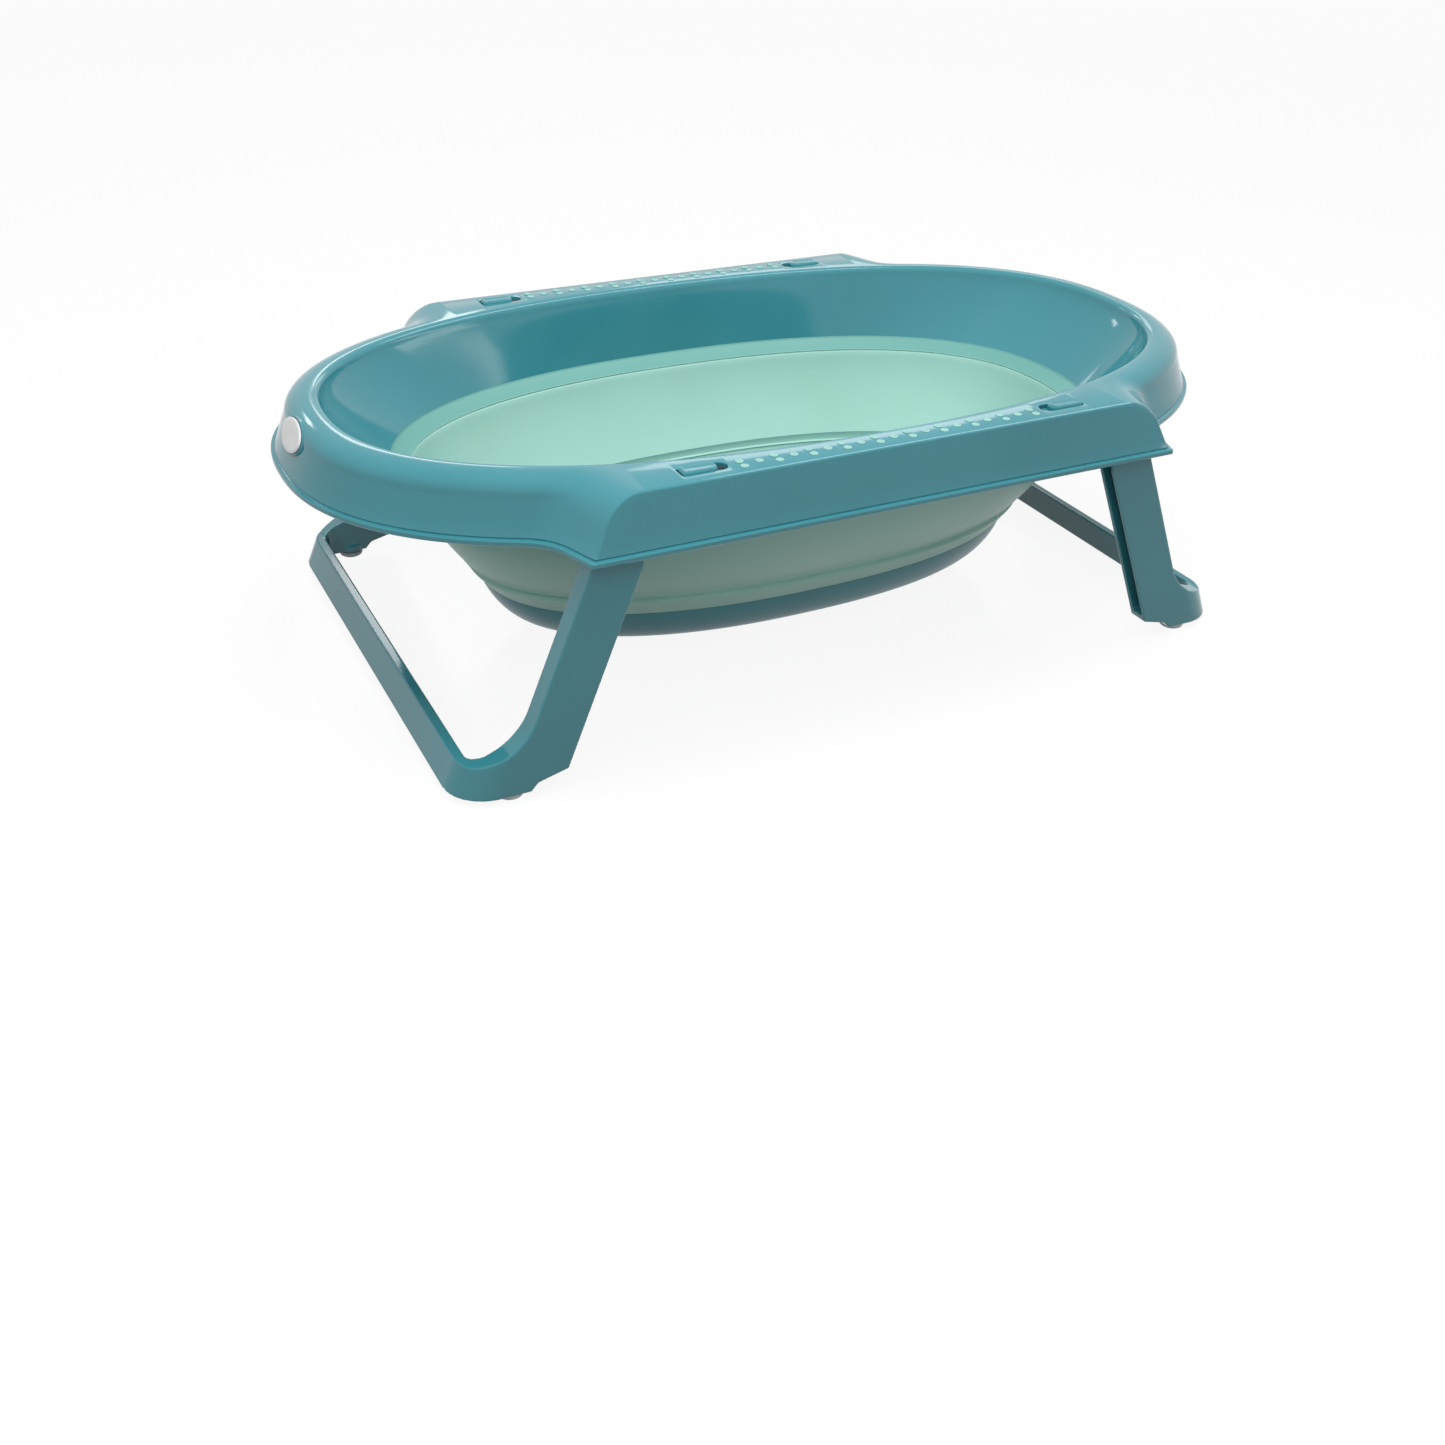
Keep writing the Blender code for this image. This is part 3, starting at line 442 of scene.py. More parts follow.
print("points round the rim:", len(rim_ring(0.0)))

# %% Grow the rim
LIP_LOW = SKIRT_DROP + LIP_HEIGHT
# The bead as (out from the skirt, up from its lower edge), with a fine groove above it
BEAD = ((0.0005, 0), (0.0024, 0.0001), (0.0029, 0.0006), (0.003, 0.002), (0.0029, 0.0036), (0.0024, 0.0042))
BEAD_TOP = ((0.0008, 0.0045), (0.0001, 0.0046), (-0.0003, 0.0049), (-0.0002, 0.0053), (0.0, 0.0059))
SKIRT_DROPS = (0.037, 0.030, 0.024, 0.019, 0.0165, 0.015, 0.012, 0.0095, 0.0075, 0.0058, 0.0045, 0.0034)
EDGE_DROPS = (0.0025, 0.0017, 0.0012, 0.0008, 0.0005, 0.00025, 0.0001, 0.0)
CREST_TURNS = [math.radians(a) for a in (0, 18, 36, 54, 72)]
WALL_SHARES = [i / 12 for i in range(13)]
BACK_DROPS = (0.009, 0.015, 0.030)

rim_rings = [rim_ring(SKIRT_DROP, -out, LIP_LOW - up) for out, up in BEAD + BEAD_TOP]
rim_rings += [rim_ring(drop) for drop in SKIRT_DROPS + EDGE_DROPS]
rim_rings += [
    bowl_ring(CREST_FLAT + CREST_ROUND * math.sin(t), CREST_ROUND * (1 - math.cos(t))) for t in CREST_TURNS
]
rim_rings += [inner_wall_ring(share, 0) for share in WALL_SHARES]
rim_rings += [inner_wall_ring(share, WALL) for share in reversed(WALL_SHARES[2::2])]
rim_rings += [bowl_ring(CREST_FLAT + CREST_ROUND - WALL, CREST_ROUND + WALL * 0.6)]
rim_rings += [bowl_ring(CREST_FLAT - WALL * 0.2, WALL), rim_ring(0.004, WALL * 2.3, WALL)]
rim_rings += [rim_ring(drop, WALL) for drop in BACK_DROPS]
rim_rings += [rim_ring(SKIRT_DROP, WALL, LIP_LOW)]
rim = grow_rings("rim_shell", rim_rings, True)

# %% [markdown]
# Each thumb lock slides in a slot through the deck: square at its outer end, round at the other. The
# slots are cut with solids of that outline.

# %% Cut the lock slots
tab_low, tab_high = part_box("thumb_lock_right_rear")
SLOT_SPARE, LOCK_TRAVEL, TAB_GAP = 0.0015, 0.007, 0.0004
TAB_LENGTH, TAB_WIDTH, SLIDE_MARGIN, TONGUE = 0.029, 0.012, 0.004, 0.010
SLOT_CORNER, SLOT_EDGE, CUT = 0.002, 0.0006, 0.006
LOCK_X = tab_high.x - TONGUE - SLIDE_MARGIN - TAB_LENGTH / 2
LOCK_Y = (tab_low.y + tab_high.y) / 2


def slot_outline(inner, outer, width, corner):
    """A slot along x, round at its inner end, with small corners at its outer end."""
    half = width / 2
    points = arc(inner + half, 0, half, 270, 90, 14)
    points += arc(outer - corner, half - corner, corner, 90, 0, 5)
    return points + arc(outer - corner, -half + corner, corner, 0, -90, 5)


def on_rail(outline, end, side, z):
    """An outline drawn along a right, rear rail, set on one of the four places."""
    return [Vector((end * x, side * (LOCK_Y + y), z)) for x, y in outline]


SLOT_IN = LOCK_X - TAB_LENGTH / 2 - LOCK_TRAVEL - SLOT_SPARE
SLOT_OUT = LOCK_X + TAB_LENGTH / 2 + SLOT_SPARE
SLOT_WIDTH = TAB_WIDTH + 2 * TAB_GAP
for end, _ in ENDS:
    for side, _ in SIDES:
        slot = slot_outline(SLOT_IN, SLOT_OUT, SLOT_WIDTH, SLOT_CORNER)
        carve(rim, extrude_outline("slot", on_rail(slot, end, side, DECK - CUT), (0, 0, 2 * CUT)))


def on_slot_edge(point, spare=1e-5):
    """True on the upper edge of a slot."""
    across = abs(abs(point.y) - LOCK_Y) < SLOT_WIDTH / 2 + spare
    return point.z > DECK - spare and across and SLOT_IN - spare < abs(point.x) < SLOT_OUT + spare


make_active(rim)
bpy.ops.object.mode_set(mode="EDIT")
bpy.ops.mesh.select_all(action="DESELECT")
mesh = bmesh.from_edit_mesh(rim.data)
for edge in mesh.edges:
    steep = len(edge.link_faces) == 2 and edge.calc_face_angle() > math.radians(50)
    edge.select_set(steep and all(on_slot_edge(vertex.co) for vertex in edge.verts))
bmesh.update_edit_mesh(rim.data)
print("slot edges:", sum(edge.select for edge in mesh.edges))
bpy.ops.mesh.bevel(offset=SLOT_EDGE, segments=3)
bpy.ops.object.mode_set(mode="OBJECT")
shade(rim, 30)
settle(rim, teal_gloss, "teal_plastic", "rim", "rim_frame")


# %% [markdown]
# ## Soft wall
#
# The wall is a rubber skin: a narrow ledge under the rim, a long slope that swells a little, a crease
# where it turns over when the base is pushed up, and a band down to the base. It bends between the
# rim and the base, so it is blended across that joint.

# %% Grow the soft wall
LEDGE_LENGTH, LEDGE_WIDTH, LEDGE_DROP = 0.307, 0.1706, 0.0737
FOLD_LENGTH, FOLD_WIDTH, FOLD_DROP = 0.273, 0.137, 0.146
BASE_LENGTH, BASE_WIDTH, BASE_DROP = 0.252, 0.122, 0.172
CREASE_DEPTH, CREASE_HEIGHT, BELLY, SEAM = 0.0037, 0.010, 0.005, 0.0003
TUB_STEPS, SLOPE_RINGS = 48, 16


def tub_ring(length, width, drop):
    """A ring of the soft wall or the base."""
    turns = [math.pi / 2 * (1 - i / TUB_STEPS) for i in range(TUB_STEPS + 1)]
    shares = [max(0.0, math.cos(t)) ** (2 / TUB_POWER) for t in turns]
    shares[0], shares[-1] = 0.0, 1.0
    return mirror_round(oval_quarter(length, width, TUB_POWER, shares), DECK - drop)


def between(first, last, count, swell=0.0):
    """Rings from one (length, width, drop) towards another, swelling outwards on the way."""
    made = []
    for i in range(count):
        t = i / count
        out = swell * 4 * t * (1 - t)
        length, width, drop = (a + (b - a) * t for a, b in zip(first, last))
        made.append((length + out, width + out, drop))
    return made


def inward(ring, step, down=0.0):
    """A ring's sizes, drawn in and lowered."""
    return ring[0] - step, ring[1] - step, ring[2] + down


# Fine forms as (in, down): a groove under the ledge's edge, and a bead at the seam
LEDGE_EDGE = ((0.0009, 0.0028), (0.0005, 0.0022), (-0.0004, 0.0017), (-0.0006, 0.0013), (-0.0002, 0.0009))
LEDGE_EDGE += ((0.0001, 0.0005), (0.0, 0.0001), (-0.0003, -0.0001), (-0.0008, -0.0004))
SEAM_BEAD = ((0.0019, 0.0010), (0.0014, 0.0005), (0.0012, 0.0), (0.0009, -0.0005))
SEAM_BEAD += ((0.0005, -0.0006), (0.0002, -0.0003), (0.0, 0.0))
CREASE_TURN = ((0.0, -0.0015), (0.0006, 0.0), (0.0024, 0.0012), (CREASE_DEPTH, 0.0028), (CREASE_DEPTH, 0.0044))
BAND_TURN = ((0.0032, -0.0026), (0.0008, -0.0008), (0.0, 0.001))
hem_top = (HEM_LENGTH + WALL, HEM_WIDTH + WALL, HEM_DROP + SEAM)
hem = (HEM_LENGTH, HEM_WIDTH, HEM_DROP + SEAM)
ledge = (LEDGE_LENGTH, LEDGE_WIDTH, LEDGE_DROP)
crease = (FOLD_LENGTH, FOLD_WIDTH, FOLD_DROP)
foot = (BASE_LENGTH, BASE_WIDTH, BASE_DROP - SEAM)
share = CREASE_HEIGHT / (BASE_DROP - FOLD_DROP)
band = tuple(a + (b - a) * share for a, b in zip(crease, (BASE_LENGTH, BASE_WIDTH, BASE_DROP)))

outside = [hem_top, inward(hem_top, 0, WALL), inward(hem_top, 0.0012, WALL + 0.001)]
outside += between(inward(ledge, -WALL, WALL), inward(crease, *CREASE_TURN[0]), SLOPE_RINGS, BELLY)
outside += [inward(crease, step, down) for step, down in CREASE_TURN]
outside += [inward(band, step, down) for step, down in BAND_TURN]
outside += between(inward(band, 0.0006, 0.002), foot, 5) + [foot]
inner_crease = inward(crease, CREASE_DEPTH + WALL)
inside = between(inward(foot, WALL), inward(band, WALL), 4)
inside += [inward(band, WALL), inward(inner_crease, -0.0006, 0.004)]
inside += between(inner_crease, inward(ledge, *LEDGE_EDGE[0]), SLOPE_RINGS, BELLY)
inside += [inward(ledge, step, down) for step, down in LEDGE_EDGE]
inside += [inward(hem, step, down) for step, down in SEAM_BEAD]

wall = grow_rings("soft_wall_skin", [tub_ring(*ring) for ring in outside + inside], True)
# marks the band under the rim's hem that takes the painted shade
painted_ledge_shade = wall.data.attributes.new("painted_ledge_shade", "FLOAT", "POINT")
painted_ledge_shade.data.foreach_set("value", [float(v.co.z > DECK - LEDGE_DROP) for v in wall.data.vertices])
shade(wall, 40)
settle(wall, mint_rubber, "mint_rubber", None, "soft_wall")
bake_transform(wall)

# %% [markdown]
# ## Base and drain plug
#
# The base is a shallow dish with a flat underside. A drain hole near its left end is closed by a
# rubber plug with a pull tab.

# %% Grow the base
BASE_DEPTH, FLOOR_LENGTH, FLOOR_WIDTH = 0.031, 0.221, 0.103
plug_low, plug_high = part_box("drain_plug")
DRAIN_X = (plug_low.x + plug_high.x) / 2
DRAIN_BORE, PLUG_FLANGE, BORE_SPARE = 0.0113, 0.016, 0.004


def dish_ring(inset, turn, depth):
    """A ring of the base's curve: turn 0 at its upper edge, 90 at its floor."""
    share = (1 - math.cos(math.radians(turn))) ** 0.72
    length = BASE_LENGTH - inset + (FLOOR_LENGTH - BASE_LENGTH) * share
    width = BASE_WIDTH - inset + (FLOOR_WIDTH - BASE_WIDTH) * share
    return tub_ring(length, width, BASE_DROP + depth * math.sin(math.radians(turn)))


DISH_TURNS = [i * 7.5 for i in range(13)]
dish = [dish_ring(0, turn, BASE_DEPTH) for turn in reversed(DISH_TURNS)]
dish += [dish_ring(WALL, turn, BASE_DEPTH - WALL) for turn in DISH_TURNS]
base = grow_rings("base_dish", dish, False)
hole = [Vector((x, y, plug_low.z - BORE_SPARE)) for x, y in arc(DRAIN_X, 0, DRAIN_BORE, 0, 352.5, 47)]
carve(base, extrude_outline("hole", hole, (0, 0, 3 * BORE_SPARE)))
shade(base, 40)
settle(base, teal_satin, "teal_plastic", "base", "base_pan")

# %% Turn the plug
PLUG_PROFILE = ((0.0002, 0.0), (0.0092, 0.0), (0.0104, 0.0004), (0.0110, 0.0015), (0.0110, 0.0033))
PLUG_PROFILE += ((0.0156, 0.0033), (0.0159, 0.0037), (0.0159, 0.0051), (0.0152, 0.0060), (0.0136, 0.0063))
plug = turn_profile("drain_plug_body", DRAIN_X, 0, plug_low.z, PLUG_PROFILE, 48)
tab_half, tab_top, tab_foot = PLUG_FLANGE * 0.45, plug_high.z - plug_low.z, 0.005
tab = arc(DRAIN_X, tab_top - tab_half, tab_half, 0, 180, 16)
tab += [(DRAIN_X - tab_half, tab_foot), (DRAIN_X + tab_half, tab_foot)]
pull = extrude_outline("pull", [Vector((x, -WALL / 2, plug_low.z + z)) for x, z in tab], (0, WALL, 0))
carve(plug, pull, "UNION")
soften_edges(plug, 0.0006, 2)
shade(plug, 40)
settle(plug, mint_rubber, "mint_rubber", "drain_plug", "drain_plug")


# %% [markdown]
# ## Leg frames
#
# Each frame is one moulding: two legs that swing on pins inside the rails, and a crossbar that joins
# their feet. Its edges are softly rounded all over, and where the flare runs into the crossbar's
# corner a bevel would tear. So the frame is cut from two extruded outlines, turned into fine voxels
# and smoothed, which rounds every edge alike, and what is flat is then dissolved again.

# %% Outlines of a leg frame
PIVOT_X, PIVOT_Z = 0.2233, 0.200
SPLAY = math.radians(20.6)
LEG_OUTER, LEG_THICK, LEG_WALL = 0.221, 0.018, 0.003
LEG_INNER = LEG_OUTER - LEG_THICK
LEG_BACK, LEG_FRONT = -0.02205, 0.01745
HUB, SHOULDER, PIN_BORE = 0.0155, 0.024, 0.0041
BAR_OUT, BAR_TALL, BAR_THICK = 0.0545, 0.025, 0.0081
FLARE, FLARE_ROUND = math.radians(48.5), 0.048
CORNER, CORNER_INNER = 0.032, 0.014
PAD_HEIGHT, FOOT_CONTACT, FOOT_STEP, FOOT_STEP_RUN, HEEL_LIFT = 0.005, 0.0575, 0.006, 0.005, 0.012
PAD_RADIUS, VOXEL, REACH = 0.0105, 0.0009, 0.3


def leg_point(end, u, v, y):
    """A point of a frame: u down the leg from its pivot, v outward across it."""
    x = PIVOT_X + u * math.sin(SPLAY) + v * math.cos(SPLAY)
    return Vector((end * x, y, PIVOT_Z - u * math.cos(SPLAY) + v * math.sin(SPLAY)))


def down_to(height, v):
    """How far down the leg a height above the floor lies, at v across it."""
    return (PIVOT_Z + v * math.sin(SPLAY) - height) / math.cos(SPLAY)


def leg_place(x, height):
    """A place on the right end as (u, v)."""
    out, drop = x - PIVOT_X, PIVOT_Z - height
    return out * math.sin(SPLAY) + drop * math.cos(SPLAY), out * math.cos(SPLAY) - drop * math.sin(SPLAY)


def bar_edge():
    """The crossbar's upper outer edge on the right end."""
    return leg_point(1, down_to(PAD_HEIGHT, BAR_OUT) - BAR_TALL, BAR_OUT, 0)


def leg_outline():
    """Side view of a frame as (u, v): hub, outer edge, flare, foot with its step, inner edge."""
    points = [(SHOULDER, LEG_BACK)] + [(-u, v) for v, u in arc(0, 0, HUB, 180, 0, 24)]
    points.append((SHOULDER, LEG_FRONT))
    edge = bar_edge()
    flare_u, flare_v = leg_place(edge.x - BAR_THICK, edge.z)
    corner_u = flare_u - (flare_v - LEG_FRONT) / math.tan(FLARE)
    start_u = corner_u - FLARE_ROUND * math.tan(FLARE / 2)
    for t in (FLARE * i / 20 for i in range(21)):
        points.append((start_u + FLARE_ROUND * math.sin(t), LEG_FRONT + FLARE_ROUND * (1 - math.cos(t))))
    foot_u = down_to(PAD_HEIGHT, BAR_OUT)
    points += [(flare_u, flare_v), leg_place(edge.x, edge.z), (foot_u, BAR_OUT)]
    contact = leg_point(1, foot_u, BAR_OUT, 0).x - FOOT_CONTACT
    points += [leg_place(contact, PAD_HEIGHT), leg_place(contact - FOOT_STEP_RUN, PAD_HEIGHT + FOOT_STEP)]
    points.append((down_to(PAD_HEIGHT + HEEL_LIFT, LEG_BACK), LEG_BACK))
    return points


def frame_plan(outer, half, corner):
    """Plan of a frame or of its window as (v, y): open inward, with two round corners outward."""
    plan = [(outer - REACH, -half)] + arc(outer - corner, -half + corner, corner, -90, 0, 20)
    return plan + arc(outer - corner, half - corner, corner, 0, 90, 20) + [(outer - REACH, half)]


def plan_solid(end, plan, low, high):
    """A plan outline extruded along the leg."""
    lift = leg_point(end, high, 0, 0) - leg_point(end, low, 0, 0)
    return extrude_outline("plan", [leg_point(end, low, v, y) for v, y in plan], lift)


# %% Cut and smooth the right leg frame
heel_u = down_to(PAD_HEIGHT + HEEL_LIFT, LEG_BACK)
channel_half = LEG_THICK / 2 - LEG_WALL
wide = LEG_OUTER + WALL
leg = extrude_outline("right_legs", [leg_point(1, u, v, -wide) for u, v in leg_outline()], (0, 2 * wide, 0))
carve(leg, plan_solid(1, frame_plan(BAR_OUT, LEG_OUTER, CORNER), -REACH, REACH), "INTERSECT")
window = frame_plan(bar_edge().x - BAR_THICK, LEG_INNER, CORNER_INNER)
carve(leg, extrude_outline("window", [Vector((x, y, -WALL)) for x, y in window], (0, 0, REACH)))
back, front = LEG_BACK - LEG_WALL, LEG_FRONT - LEG_WALL
for side, side_name in SIDES:
    near, far = (side * (LEG_INNER + LEG_OUTER) / 2 + across for across in (-channel_half, channel_half))
    channel = [(back, near), (front, near), (front, far), (back, far)]
    carve(leg, plan_solid(1, channel, HUB + LEG_WALL, heel_u - FOOT_STEP))
    bore = arc(PIVOT_X, PIVOT_Z, PIN_BORE, 0, 345, 23)
    start, run = side * (LEG_INNER - WALL), side * (LEG_THICK + 2 * WALL)
    carve(leg, extrude_outline("bore", [Vector((x, start, z)) for x, z in bore], (0, run, 0)))
    low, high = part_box("foot_pad_right_" + side_name)
    ring = arc((low.x + high.x) / 2, (low.y + high.y) / 2, PAD_RADIUS, 0, 350, 35)
    boss = extrude_outline("boss", [Vector((x, y, PAD_HEIGHT)) for x, y in ring], (0, 0, FOOT_STEP))
    carve(leg, boss, "UNION")
modify(leg, "REMESH", mode="VOXEL", voxel_size=VOXEL)
modify(leg, "SMOOTH", factor=0.5, iterations=4)
modify(leg, "DECIMATE", decimate_type="DISSOLVE", angle_limit=math.radians(0.4))
print("right frame:", len(leg.data.polygons), "faces")

# %% Mirror it to the left
make_active(leg)
bpy.ops.object.duplicate()
other = bpy.context.object
other.name = other.data.name = "left_legs"
bpy.ops.object.mode_set(mode="EDIT")
bpy.ops.mesh.select_all(action="SELECT")
bpy.ops.transform.resize(value=(-1, 1, 1), center_override=(0, 0, 0))
bpy.ops.mesh.normals_make_consistent(inside=False)
bpy.ops.object.mode_set(mode="OBJECT")
for end_name, piece in (("left", other), ("right", leg)):
    shade(piece, 60)
    modify(piece, "WEIGHTED_NORMAL", weight=100)
    settle(piece, teal_gloss, "teal_plastic", "leg_" + end_name, end_name + "_leg_frame")

# %% [markdown]
# A white rubber pad sits under each foot, on a short boss.

# %% Foot pads
PAD_PROFILE = ((0.0002, 0.0), (0.0076, 0.0), (0.0088, 0.0003), (0.0100, 0.0012))
PAD_PROFILE += ((0.0104, 0.0022), (0.0104, 0.0047))
for end, end_name in ENDS:
    for side, side_name in SIDES:
        node = f"foot_pad_{end_name}_{side_name}"
        low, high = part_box(node)
        x, y = (low.x + high.x) / 2, (low.y + high.y) / 2
        pad = turn_profile(f"pad_{end_name}_{side_name}", x, y, 0, PAD_PROFILE, 36)
        shade(pad, 40)
        settle(pad, white_rubber, "white_rubber", "leg_" + end_name, node)

# %% [markdown]
# ## Thumb locks, springs and grip dots
#
# A lock is a slide plate under the deck with a tab that stands up through the slot. Its spring is a
# zigzag leaf that shortens as the tab is pushed. The dots are soft domes that give the hand a grip.

# %% Thumb locks
PLATE_TOP, PLATE_LOW, TONGUE_HALF, TAB_CORNER = DECK - 0.0033, DECK - 0.0073, 0.004, 0.0024
# The tab as (in from its outline, up from the deck): an upright side, a chamfer, a rim and a dish
TAB_PROFILE = ((0.0, -0.0043), (0.0, 0.0002), (0.0002, 0.0006), (0.0011, 0.0017), (0.0015, 0.0020))
TAB_PROFILE += ((0.0020, 0.0020), (0.0026, 0.0018), (0.0034, 0.0015), (0.0044, 0.0014))
for end, end_name in ENDS:
    for side, side_name in SIDES:
        place = f"{end_name}_{side_name}"
        inner, outer = LOCK_X - TAB_LENGTH / 2, LOCK_X + TAB_LENGTH / 2
        rings = []
        for inset, rise in TAB_PROFILE:
            corner = max(TAB_CORNER - inset, 0.0003)
            tab = slot_outline(inner + inset, outer - inset, TAB_WIDTH - 2 * inset, corner)
            rings.append(on_rail(tab, end, side, DECK + rise))
        lock = grow_rings("tab_" + place, rings, False)
        half, heel = TAB_WIDTH / 2 + SLIDE_MARGIN, outer + SLIDE_MARGIN
        right = [(inner - SLIDE_MARGIN / 2, -half), (heel, -half)]
        right += [(heel, -TONGUE_HALF), (heel + TONGUE, -TONGUE_HALF)]
        plate = on_rail(right + [(x, -y) for x, y in reversed(right)], end, side, PLATE_LOW)
        carve(lock, extrude_outline("plate", plate, (0, 0, PLATE_TOP - PLATE_LOW)), "UNION")
        shade(lock, 40)
        settle(lock, teal_gloss, "teal_plastic", "lock_" + place, "thumb_lock_" + place)

# %% Lock springs
SPRING_KEEP, LEAVES, LEAF, SWING = 0.22, 5, 0.0006, 0.0028
for end, end_name in ENDS:
    for side, side_name in SIDES:
        place = f"{end_name}_{side_name}"
        low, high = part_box("lock_spring_" + place)
        near, far = (low.x, high.x) if end == RIGHT else (high.x, low.x)
        across = LEAF * math.hypot(1, 2 * SWING * LEAVES / abs(far - near)) / 2
        line = []
        for i in range(LEAVES + 1):
            line.append((near + (far - near) * i / LEAVES, side * LOCK_Y + SWING * (1 if i % 2 else -1)))
        outline = [Vector((x, y - across, low.z)) for x, y in line]
        outline += [Vector((x, y + across, low.z)) for x, y in reversed(line)]
        spring = extrude_outline("spring_" + place, outline, (0, 0, high.z - low.z))
        shade(spring, 30)
        settle(spring, spring_steel, "spring_steel", "rim", "lock_spring_" + place)
        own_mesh(spring)

# %% Grip dots
PAIRS, PITCH, ROW, DOT_RADIUS, DOT_PROUD, STRIP_THICK = 10, 0.0289, 0.0045, 0.0033, 0.0007, 0.002
# A ring with a dimple, as shares of a dot's radius and of its height
DOT_SHARES = ((1.0, -3.0), (1.0, 0.4), (0.97, 0.82), (0.90, 1.0), (0.72, 1.0))
DOT_SHARES += ((0.58, 0.85), (0.45, 0.4), (0.32, 0.15), (0.03, 0.1))
DOT_PROFILE = [(DOT_RADIUS * out, DOT_PROUD * up) for out, up in DOT_SHARES]
for side, side_name in SIDES:
    low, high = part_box("grip_strip_" + side_name)
    row_y = (low.y + high.y) / 2
    dots = []
    for i in range(2 * PAIRS - 1):
        for row in (0,) if i % 2 else (-ROW, ROW):
            x = PITCH * (i / 2 - (PAIRS - 1) / 2)
            dots.append(turn_profile("dot", x, row_y + row, DECK, DOT_PROFILE, 16))
    corners = ((low.x, low.y), (high.x, low.y), (high.x, high.y), (low.x, high.y))
    strip = [Vector((x, y, low.z)) for x, y in corners]
    dots.append(extrude_outline("strip", strip, (0, 0, STRIP_THICK)))
    grips = join_pieces("grip_dots_" + side_name, dots)
    shade(grips, 60)
    settle(grips, dot_rubber, "mint_rubber", "rim", "grip_strip_" + side_name)

# %% [markdown]
# ## Badge, ears and keepers
#
# A blank white oval sits on a flat seat at the left end, with a thin shadow gap round it.

# %% Badge
BADGE_TILT = math.radians(22)
BADGE_WIDTH, BADGE_HEIGHT, SEAT_PROUD = 0.048, 0.0246, 0.0005
out = Vector((-math.cos(BADGE_TILT), 0, math.sin(BADGE_TILT)))
up = Vector((math.sin(BADGE_TILT), 0, math.cos(BADGE_TILT)))
seat = Vector((-CREST_LENGTH - SKIRT_ROUND, 0, DECK - SKIRT_ROUND_DROP)) + out * SEAT_PROUD


def badge_ring(larger, lift):
    """An oval ring above the badge's seat, larger than the badge or, below nought, smaller."""
    wide, tall = (BADGE_WIDTH + larger) / 2, (BADGE_HEIGHT + larger) / 2
    turns = [math.radians(7.5 * i) for i in range(48)]
    return [seat + Vector((0, wide * math.cos(t), 0)) + up * tall * math.sin(t) + out * lift for t in turns]


BADGE_PROFILE = ((0.0, 0.0003), (0.0, 0.0010), (-0.0004, 0.0015), (-0.0012, 0.00175))
BADGE_PROFILE += ((-0.0070, 0.0018), (-0.0200, 0.0018))
badge = grow_rings("badge_disc", [badge_ring(*ring) for ring in BADGE_PROFILE], False)
shade(badge, 50)
settle(badge, white_plastic, "white_plastic", "rim", "badge_plate")
SEAT_PROFILE = ((0.0034, -0.0045), (0.0034, -0.0003), (0.0030, 0.0), (0.0012, 0.0))
SEAT_PROFILE += ((0.0008, -0.0004), (-0.01, -0.0004))
bezel = grow_rings("badge_seat", [badge_ring(*ring) for ring in SEAT_PROFILE], False)
shade(bezel, 40)
settle(bezel, teal_gloss, "teal_plastic", "rim")

# %% [markdown]
# Each leg swings on a steel pin, between an ear under the deck and a boss on the rail's inner side. The
# packed pins show as they are and only take a finish.

# %% Hinge pins, ears and bosses
EAR_THICK, EAR_RADIUS, EAR_SPACE, BOSS_RADIUS = 0.004, 0.011, 0.0012, 0.008
EAR_BACK, EAR_FRONT = EAR_RADIUS * 2.2, EAR_RADIUS * 0.4
ears = []
for end, end_name in ENDS:
    x = end * PIVOT_X
    low, high = PIVOT_Z - EAR_RADIUS, PIVOT_Z + EAR_RADIUS
    ear = [(x - end * EAR_BACK, DECK - WALL), (x - end * EAR_FRONT, DECK - WALL)]
    ear += [(x + end * EAR_RADIUS, high), (x + end * EAR_RADIUS, low)]
    ear += [(x - end * EAR_RADIUS, low), (x - end * EAR_BACK, high)]
    for side, side_name in SIDES:
        inner = side * (LEG_INNER - EAR_SPACE - EAR_THICK)
        outline = [Vector((px, inner, pz)) for px, pz in ear]
        ears.append(extrude_outline("ear", outline, (0, side * EAR_THICK, 0)))
        outer = side * (LEG_OUTER + EAR_SPACE)
        outline = [Vector((px, outer, pz)) for px, pz in arc(x, PIVOT_Z, BOSS_RADIUS, 0, 345, 23)]
        reach = side * (rail_side(DECK - PIVOT_Z) - WALL - LEG_OUTER - EAR_SPACE)
        ears.append(extrude_outline("boss", outline, (0, reach, 0)))
        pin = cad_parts[f"hinge_pin_{end_name}_{side_name}"].data
        pin.materials.clear()
        pin.materials.append(spring_steel)
print("ears and bosses:", len(ears))

# %% [markdown]
# Under the deck, two hooked keepers hold each slide plate up, and a stop takes its spring. They are
# rim mouldings, and are joined with the ears and bosses into one piece.

